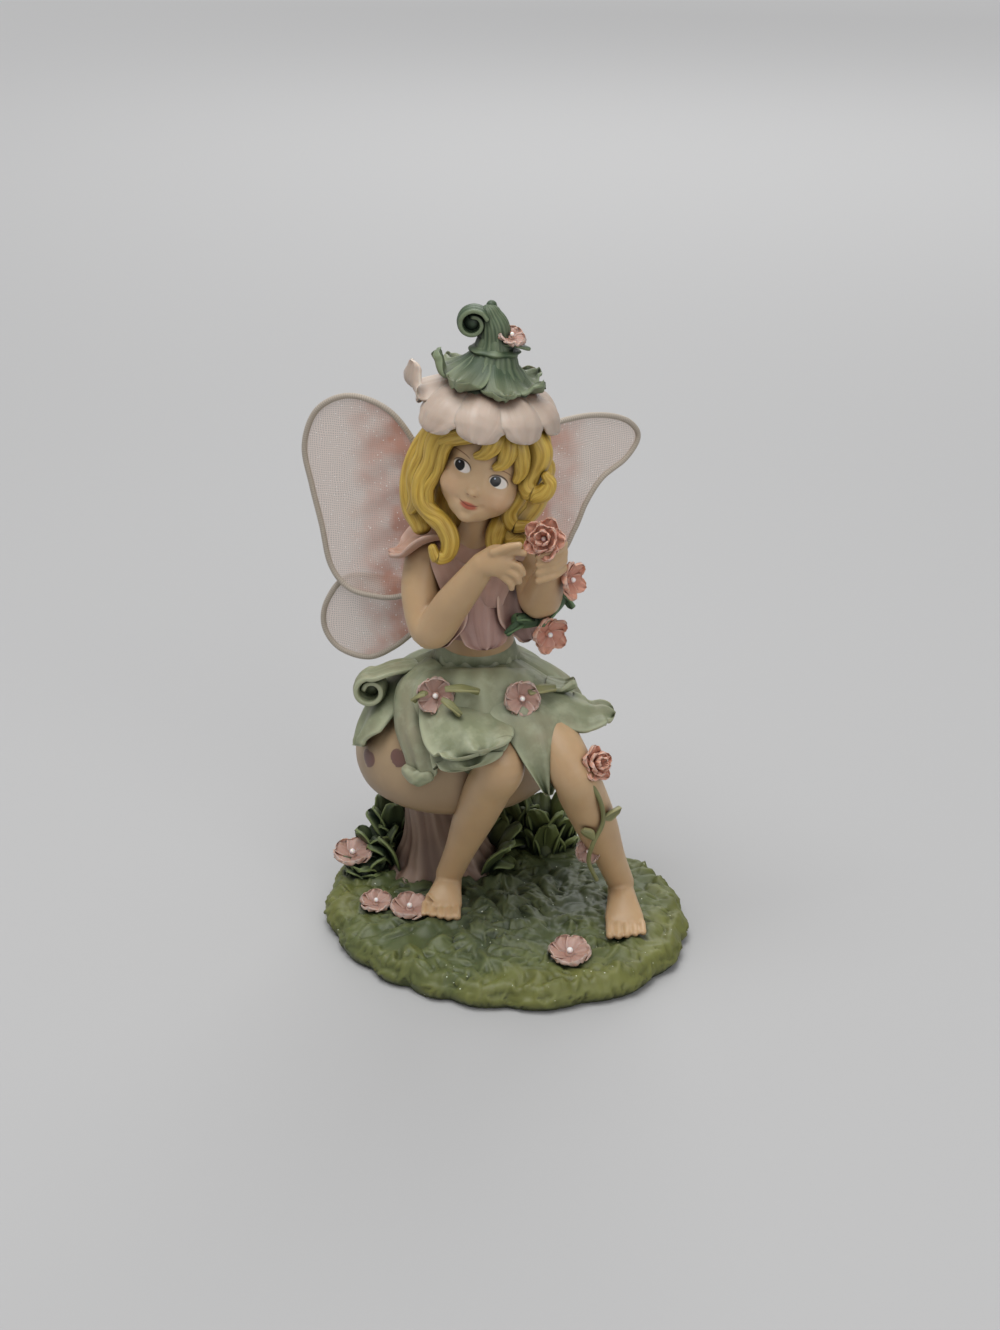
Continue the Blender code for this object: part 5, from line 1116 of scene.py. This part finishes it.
def flowerSeat(name):
    # The pearl stands on the flower's own axis, so the two nodes give its place and lean.
    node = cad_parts[name]
    points = [node.matrix_world @ v.co for v in node.data.vertices]
    middle = sum(points, Vector()) / len(points)
    pearl = nodeMiddle(name.replace("flower", "bead"))
    axis = (pearl - middle).normalized()
    turn = axis.to_track_quat("Z", "Y").to_matrix().to_4x4()
    reach = flower["seatToGlue"] + flower["glueGap"] + flower["pearlRadius"] * sizes[name]
    return Matrix.Translation(pearl / mm - axis * reach) @ turn


def makeFlower(name, size):
    bm = bmesh.new()
    base = flowerSeat(name)
    r = flower["radius"] * size
    count = flower["petals"] + (1 if name == "ground_flower_right" else 0)
    # Each layer of petals: reach, rise and turn
    for reach, rise, start in flower["full" if name in ("hand_flower", "knee_flower") else "open"]:
        for k in range(count):
            angle = 2 * math.pi * (k + start) / count + size * 9
            width = r * reach * math.sin(math.pi / count) * 1.18
            rows = ((0.2, 0.1, width * 0.35, 0.05),
                    (r * reach * 0.45, 0.2 + rise * r * 0.3, width * 0.8, 0.25),
                    (r * reach * 0.8, rise * r * 0.8, width, 0.35),
                    (r * reach * 0.9, rise * r, width * 0.7, 0.2))
            # Each petal is set on a slant, like a propeller, and overlaps the next
            leafSheet(bm, ringStations(angle, [(a, b + 0.05 * (k % 2), c, d) for a, b, c, d in rows]),
                      (-math.sin(angle), math.cos(angle), 0.12), base, thickness=flower["thickness"],
                      rows=18, columns=26, waves=(0.3 * reach, 2, 1.9 * k), veins=(3, 0.06),
                      roll=0.3 * reach, tip=0.9 if name.startswith(("arm", "knee", "hand")) else 0.4)
    limb(bm, [(0, 0, -0.9, 0.8 * size), (0, 0, 0.35, 0.9 * size)], base=base, rows=12, columns=16)
    return bm


def petalColours(light, deep):
    def colours(material, place):
        along = addNode(material, "Attribute", attribute_name="along")
        return addNode(material, "Mix", {"Factor": along.outputs["Fac"], 6: linear(deep), 7: linear(light)},
                       data_type="RGBA").outputs[2]
    return colours


flowerPaints = {
    "pale": castResin("cold_cast_resin_flower_pale", petalColours("bd9d8f", "a27a6c"), "c9afa2", "916b5e",
                      hollow=0.6, mottle=3.0, waxy=0.4, roughness=0.4),
    "coral": castResin("cold_cast_resin_flower_coral", petalColours("cf9a84", "b87865"), "dab09c", "a56b58",
                       hollow=0.5, mottle=3.0, waxy=0.4, roughness=0.4),
}


def pearlLacquer():
    # Plastic pearl bead with a lacquer of fish-scale essence: a bright coat over a soft milky body
    material = newMaterial("lacquered_plastic_pearl")
    # Painted sheen: the bead is whitest where it faces the view and greyer towards its rim
    edge = addNode(material, "LayerWeight", {"Blend": 0.35})
    body = addNode(material, "Mix", {"Factor": edge.outputs["Facing"], 6: linear("f1ece6"),
                                     7: linear("d9cfd2")}, data_type="RGBA").outputs[2]
    finishSurface(material, {"Base Color": body, "Roughness": 0.22, "IOR": 1.53, "Coat Weight": 0.6,
                             "Coat Roughness": 0.08, "Subsurface Weight": 0.2,
                             "Subsurface Scale": 0.4 * mm})
    return material


pearlPaint = pearlLacquer()
for name, size in sizes.items():
    pale = name.startswith(("ground", "skirt", "hat", "shin"))
    paint = flowerPaints["pale" if pale else "coral"]
    dressPiece(name.replace("flower", "blossom"), makeFlower(name, size), paint, (name,))
    beadName = name.replace("flower", "bead")
    bead = bmesh.new()
    radius = (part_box(beadName)[1][2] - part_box(beadName)[0][2]) / 2
    bmesh.ops.create_icosphere(bead, subdivisions=3, radius=radius,
                               matrix=Matrix.Translation(nodeMiddle(beadName)))
    dressPiece(name.replace("flower", "pearl"), bead, pearlPaint, (beadName,))
print("flowers made")


# Wings: a thread-wrapped wire round a stretched net

wing = {"wire": 0.62, "wireSides": 14, "wireStep": 0.5, "rootDepth": 2.8, "netStart": 3.0, "cell": 0.7,
        "fold": 0.35, "foldReach": 26, "blushReach": 30, "threadPitch": 0.5}
wings = {
    "right_upper": {
        "root": (-4.6, 3.4, 30.0), "side": -1, "yaw": 18, "ends": (3.6, -1.2),
        "outline": [(1.5, 7.0), (3.6, 16.0), (8.5, 26.5), (14.5, 33.4), (23.0, 35.6), (30.3, 31.8),
                    (33.4, 23.7), (32.0, 14.9), (30.0, 6.0), (28.4, -2.4), (25.0, -7.2), (20.0, -8.8),
                    (12.5, -8.2), (1.5, -2.4)],
    },
    "right_lower": {
        "root": (-3.6, 5.3, 26.0), "side": -1, "yaw": 18, "ends": (-2.0, -6.2),
        "outline": [(4.8, -2.2), (13.7, -1.4), (25.0, -1.8), (30.4, -8.0), (31.4, -14.3), (28.0, -19.1),
                    (21.1, -20.4), (14.8, -16.9), (9.0, -11.6), (2.0, -6.8)],
    },
    "left_upper": {
        "root": (4.0, 3.4, 30.0), "side": 1, "yaw": 34, "ends": (3.4, -1.2),
        "outline": [(1.5, 6.0), (3.2, 13.0), (6.6, 21.0), (13.0, 28.2), (20.6, 29.4), (28.6, 28.4),
                    (34.6, 25.8), (37.0, 22.0), (33.8, 17.8), (27.6, 14.6), (23.4, 9.8), (20.4, 4.2),
                    (15.5, -1.2), (1.5, -2.2)],
    },
    "left_lower": {
        "root": (3.0, 5.3, 26.0), "side": 1, "yaw": 62, "ends": (-2.0, -6.2),
        "outline": [(5.0, -2.0), (12.0, -1.4), (20.5, -2.0), (25.0, -7.0), (25.8, -12.4), (22.8, -16.2),
                    (17.0, -17.0), (11.5, -13.6), (7.0, -9.6), (2.0, -6.8)],
    },
}


def wingFrame(spec):
    yaw = math.radians(spec["yaw"])
    out = Vector((spec["side"] * math.cos(yaw), math.sin(yaw), 0))
    up = Vector((0, 0, 1))
    turn = Matrix((out, up, out.cross(up))).transposed().to_4x4()
    return Matrix.Translation(seat + Vector(spec["root"])) @ turn


def wireLine(spec, fineness):
    first, last = spec["ends"]
    line = [(-wing["rootDepth"], first)] + spec["outline"] + [(-wing["rootDepth"], last)]
    count = fineness * (len(line) - 1)
    return [rowAt(line, k / count) for k in range(count + 1)]


def makeWire(spec):
    base = wingFrame(spec)
    line = [base @ Vector((a, b, 0)) for a, b in wireLine(spec, 8)]
    gaps = np.cumsum([0.0] + [(q - p).length for p, q in zip(line, line[1:])])
    normal = base.to_3x3() @ Vector((0, 0, 1))
    bm = bmesh.new()
    length = gaps[-1]
    thread = bm.verts.layers.float.new("thread")
    turns = bm.verts.layers.float.new("turns")
    verts = bmesh.ops.create_grid(bm, x_segments=wing["wireSides"],
                                  y_segments=int(length / wing["wireStep"]), size=1.0)["verts"]
    for vert in verts:
        p, angle = (vert.co.y + 1) / 2, math.pi * (vert.co.x + 1)
        k = min(int(np.searchsorted(gaps, p * length, side="right")) - 1, len(line) - 2)
        f = (p * length - gaps[k]) / (gaps[k + 1] - gaps[k])
        tangent = (line[min(k + 2, len(line) - 1)] - line[max(k - 1, 0)]).normalized()
        vert[thread], vert[turns] = p * length, angle
        vert.co = (line[k].lerp(line[k + 1], f) + wing["wire"] * (
            normal * math.sin(angle) + tangent.cross(normal) * math.cos(angle))) * mm
    bmesh.ops.remove_doubles(bm, verts=verts, dist=0.002 * mm)
    bmesh.ops.holes_fill(bm, edges=bm.edges, sides=0)
    return bm


def insideLine(x, y, line):
    inside = False
    for (x1, y1), (x2, y2) in zip(line, line[1:] + line[:1]):
        if (y1 > y) != (y2 > y) and x < x1 + (y - y1) / (y2 - y1) * (x2 - x1):
            inside = not inside
    return inside


def nearestOnLine(x, y, line):
    best, found = 1e9, (x, y)
    for (x1, y1), (x2, y2) in zip(line, line[1:] + line[:1]):
        dx, dy = x2 - x1, y2 - y1
        f = min(1, max(0, ((x - x1) * dx + (y - y1) * dy) / max(dx * dx + dy * dy, 1e-9)))
        px, py = x1 + f * dx, y1 + f * dy
        far = (px - x) ** 2 + (py - y) ** 2
        if far < best:
            best, found = far, (px, py)
    return found


def makeNet(spec):
    # The wing's plane in cells, cut to the wire's line, its edge pulled onto the wire
    edge = [(max(a, wing["netStart"]), b) for a, b in wireLine(spec, 4)]
    low = [min(p[i] for p in edge) for i in (0, 1)]
    high = [max(p[i] for p in edge) for i in (0, 1)]
    wide, tall = high[0] - low[0], high[1] - low[1]
    bm = bmesh.new()
    weave = bm.loops.layers.uv.new("weave")
    verts = bmesh.ops.create_grid(bm, x_segments=int(wide / wing["cell"]),
                                  y_segments=int(tall / wing["cell"]), size=0.5)["verts"]
    for vert in verts:
        vert.co.x, vert.co.y = low[0] + (vert.co.x + 0.5) * wide, low[1] + (vert.co.y + 0.5) * tall
    outside = [v for v in bm.verts if not insideLine(v.co.x, v.co.y, edge)]
    bmesh.ops.delete(bm, geom=outside, context="VERTS")
    bmesh.ops.delete(bm, geom=[v for v in bm.verts if len(v.link_faces) == 0], context="VERTS")
    for vert in [v for v in bm.verts if v.is_boundary]:
        vert.co.x, vert.co.y = nearestOnLine(vert.co.x, vert.co.y, edge)
    area = sum(face.calc_area() for face in bm.faces)
    base = wingFrame(spec)
    warm = bm.verts.layers.float.new("warm")
    for f in bm.faces:
        for loop in f.loops:
            loop[weave].uv = (loop.vert.co.x / wing["threadPitch"], loop.vert.co.y / wing["threadPitch"])
    for vert in bm.verts:
        a, b = vert.co.x, vert.co.y
        vert[warm] = max(0.0, 1 - a / wing["blushReach"])
        slack = wing["fold"] * max(0.0, 1 - a / wing["foldReach"]) * math.sin(b * 0.85 + 0.11 * a * a / 6)
        vert.co = (base @ Vector((a, b, 0 if vert.is_boundary else slack))) * mm
    return bm, (wide * mm, tall * mm), area * mm * mm


def wrappedWire():
    # Florist's wire bound with fine thread: a dull taupe rope with close turns that catch the light, a
    # painted highlight on each turn's crest and a painted shade in the gaps between turns
    material = newMaterial("thread_bound_steel_wire")
    along = addNode(material, "Attribute", attribute_name="thread")
    turns = addNode(material, "Attribute", attribute_name="turns")
    slope = addNode(material, "Math", {0: turns.outputs["Fac"], 1: 0.08, 2: along.outputs["Fac"]},
                    operation="MULTIPLY_ADD")
    # Turns of thread 0.5 mm apart
    close = addNode(material, "Math", {0: slope.outputs[0], 1: 0.25}, operation="PINGPONG")
    ridge = addNode(material, "MapRange", {"Value": close.outputs[0], "From Max": 0.25})
    place = addNode(material, "TexCoord").outputs["Object"]
    worn = addNode(material, "TexNoise", {"Vector": place, "Scale": 1 / (4 * mm)})
    # Painted shade in the gaps between turns, painted highlight on their crests
    body = addNode(material, "Mix", {"Factor": ridge.outputs[0], 6: linear("8d8275"), 7: linear("c4baac")},
                   data_type="RGBA")
    body = addNode(material, "Mix", {"Factor": worn.outputs["Fac"], 6: body.outputs[2],
                                     7: linear("a99e90")}, data_type="RGBA").outputs[2]
    relief = addNode(material, "Bump", {"Height": ridge.outputs[0], "Strength": 0.6, "Distance": 0.08 * mm})
    finishSurface(material, {"Base Color": body, "Roughness": 0.62, "IOR": 1.5, "Normal": relief.outputs[0],
                             "Sheen Weight": 0.2, "Sheen Roughness": 0.4})
    return material


def stretchedNet():
    # Woven nylon net, white with an airbrushed pink by the back: thin crossing threads over a clear gap.
    # The real threads lie about 0.5 mm apart, and they are drawn that far apart.
    material = newMaterial("woven_nylon_net")
    weave = addNode(material, "UVMap", uv_map="weave")
    wander = addNode(material, "TexNoise", {"Vector": weave.outputs[0], "Scale": 0.1, "Detail": 2.0})
    moved = addNode(material, "VectorMath", {0: wander.outputs["Color"], 1: (3.0, 3.0, 0),
                                             2: weave.outputs[0]}, operation="MULTIPLY_ADD")
    split = addNode(material, "SeparateXYZ", {0: moved.outputs[0]})
    threads = []
    for axis in ("X", "Y"):
        gap = addNode(material, "Math", {0: split.outputs[axis], 1: 0.5}, operation="PINGPONG")
        threads.append(addNode(material, "MapRange", {
            "Value": gap.outputs[0], "From Min": 0.08, "From Max": 0.28, "To Min": 1.0,
            "To Max": 0.0}).outputs[0])
    woven = addNode(material, "Math", {0: threads[0], 1: threads[1]}, operation="MAXIMUM")
    warm = addNode(material, "Attribute", attribute_name="warm")
    cloud = addNode(material, "TexNoise", {"Vector": weave.outputs[0], "Scale": 0.09, "Detail": 3.0})
    blush = addNode(material, "Math", {0: warm.outputs["Fac"], 1: cloud.outputs["Fac"]},
                    operation="MULTIPLY")
    blush = addNode(material, "MapRange", {"Value": blush.outputs[0], "From Min": 0.1, "From Max": 0.34})
    colour = addNode(material, "Mix", {"Factor": blush.outputs[0], 6: linear("d2c3b9"),
                                       7: linear("c08b77")}, data_type="RGBA")
    # Painted highlights: sparse near-white specks where the threads glint
    cells = addNode(material, "TexVoronoi", {"Vector": weave.outputs[0], "Scale": 0.55})
    speck = addNode(material, "Math", {0: cells.outputs["Distance"], 1: 0.13}, operation="LESS_THAN")
    colour = addNode(material, "Mix", {"Factor": speck.outputs[0], 6: colour.outputs[2],
                                       7: linear("f6f2ee")}, data_type="RGBA")
    fill = addNode(material, "MapRange", {"Value": blush.outputs[0], "To Min": 0.55, "To Max": 0.9})
    clear = addNode(material, "Math", {0: 0.96, 1: fill.outputs[0]}, operation="SUBTRACT")
    alpha = addNode(material, "Math", {0: woven.outputs[0], 1: clear.outputs[0], 2: fill.outputs[0]},
                    operation="MULTIPLY_ADD")
    finishSurface(material, {"Base Color": colour.outputs[2], "Roughness": 0.45, "Alpha": alpha.outputs[0],
                             "Sheen Weight": 0.4, "Sheen Roughness": 0.3})
    return material


wirePaint, netCloth = wrappedWire(), stretchedNet()
for name, spec in wings.items():
    wire = dressPiece(f"{name}_rim", makeWire(spec), wirePaint, (f"{name}_wing_wire",))
    mesh, flat, area = makeNet(spec)
    net = dressPiece(f"{name}_net", mesh, netCloth, (f"{name}_wing_net",))
print("wings made")


# Floor, light and camera

studio = {"floor": "b0b0b0", "world": 0.42, "tilt": 24.0, "away": 520.0, "lens": 66.86,
          "aim": (-1.05, 0.0, 62.0),
          # Each lamp's place in metres, size and power
          "lamps": {"top": ((-0.15, -0.1, 0.95), 0.7, 7.0), "front": ((0.45, -0.8, 0.5), 0.6, 2.2),
                    "back": ((0.1, 0.8, 0.6), 0.6, 3.0)}}


def makeStudio():
    bm = bmesh.new()
    bmesh.ops.create_grid(bm, x_segments=1, y_segments=1, size=4.0)
    mesh = bpy.data.meshes.new("floor")
    bm.to_mesh(mesh)
    bm.free()
    floor = bpy.data.objects.new("floor", mesh)
    bpy.context.scene.collection.objects.link(floor)
    paper = newMaterial("matt_grey_paper")
    # Where the lamps fall off, the far paper keeps its grey to the camera alone
    place = addNode(paper, "TexCoord").outputs["Object"]
    far = addNode(paper, "VectorMath", {0: place}, operation="LENGTH")
    fill = addNode(paper, "MapRange", {"Value": far.outputs["Value"], "From Min": 0.3, "From Max": 1.5,
                                       "To Max": 0.3}, interpolation_type="SMOOTHSTEP")
    rays = addNode(paper, "LightPath")
    seen = rays.outputs["Is Camera Ray"]
    for name in ("Is Glossy Ray", "Is Transmission Ray"):
        seen = addNode(paper, "Math", {0: seen, 1: rays.outputs[name]}, operation="ADD").outputs[0]
    glow = addNode(paper, "Math", {0: fill.outputs[0], 1: seen}, operation="MULTIPLY")
    finishSurface(paper, {"Base Color": linear(studio["floor"]), "Roughness": 0.9,
                          "Specular IOR Level": 0.2, "Emission Color": linear("ffffff"),
                          "Emission Strength": glow.outputs[0]})
    mesh.materials.append(paper)
    world = bpy.data.worlds.new("studio")
    world.use_nodes = True
    world.node_tree.nodes["Background"].inputs[0].default_value = linear("f4f4f6")
    world.node_tree.nodes["Background"].inputs[1].default_value = studio["world"]
    bpy.context.scene.world = world
    for name, (place, size, power) in studio["lamps"].items():
        lamp = bpy.data.lights.new(name, "AREA")
        lamp.size, lamp.energy = size, power
        holder = bpy.data.objects.new(name, lamp)
        holder.location = place
        holder.rotation_euler = (Vector((0, 0, 0.06)) - Vector(place)).to_track_quat("-Z", "Y").to_euler()
        bpy.context.scene.collection.objects.link(holder)
    tilt = math.radians(studio["tilt"])
    lens = bpy.data.cameras.new("camera")
    lens.sensor_fit, lens.sensor_height, lens.lens, lens.clip_start = "VERTICAL", 36.0, studio["lens"], 0.01
    camera = bpy.data.objects.new("camera", lens)
    aim = Vector(studio["aim"])
    camera.location = (aim + studio["away"] * Vector((0, -math.cos(tilt), math.sin(tilt)))) * mm
    camera.rotation_euler = (math.pi / 2 - tilt, 0, 0)
    bpy.context.scene.collection.objects.link(camera)
    bpy.context.scene.camera = camera


makeStudio()
bpy.context.scene.view_settings.view_transform = "Standard"
print("studio made")
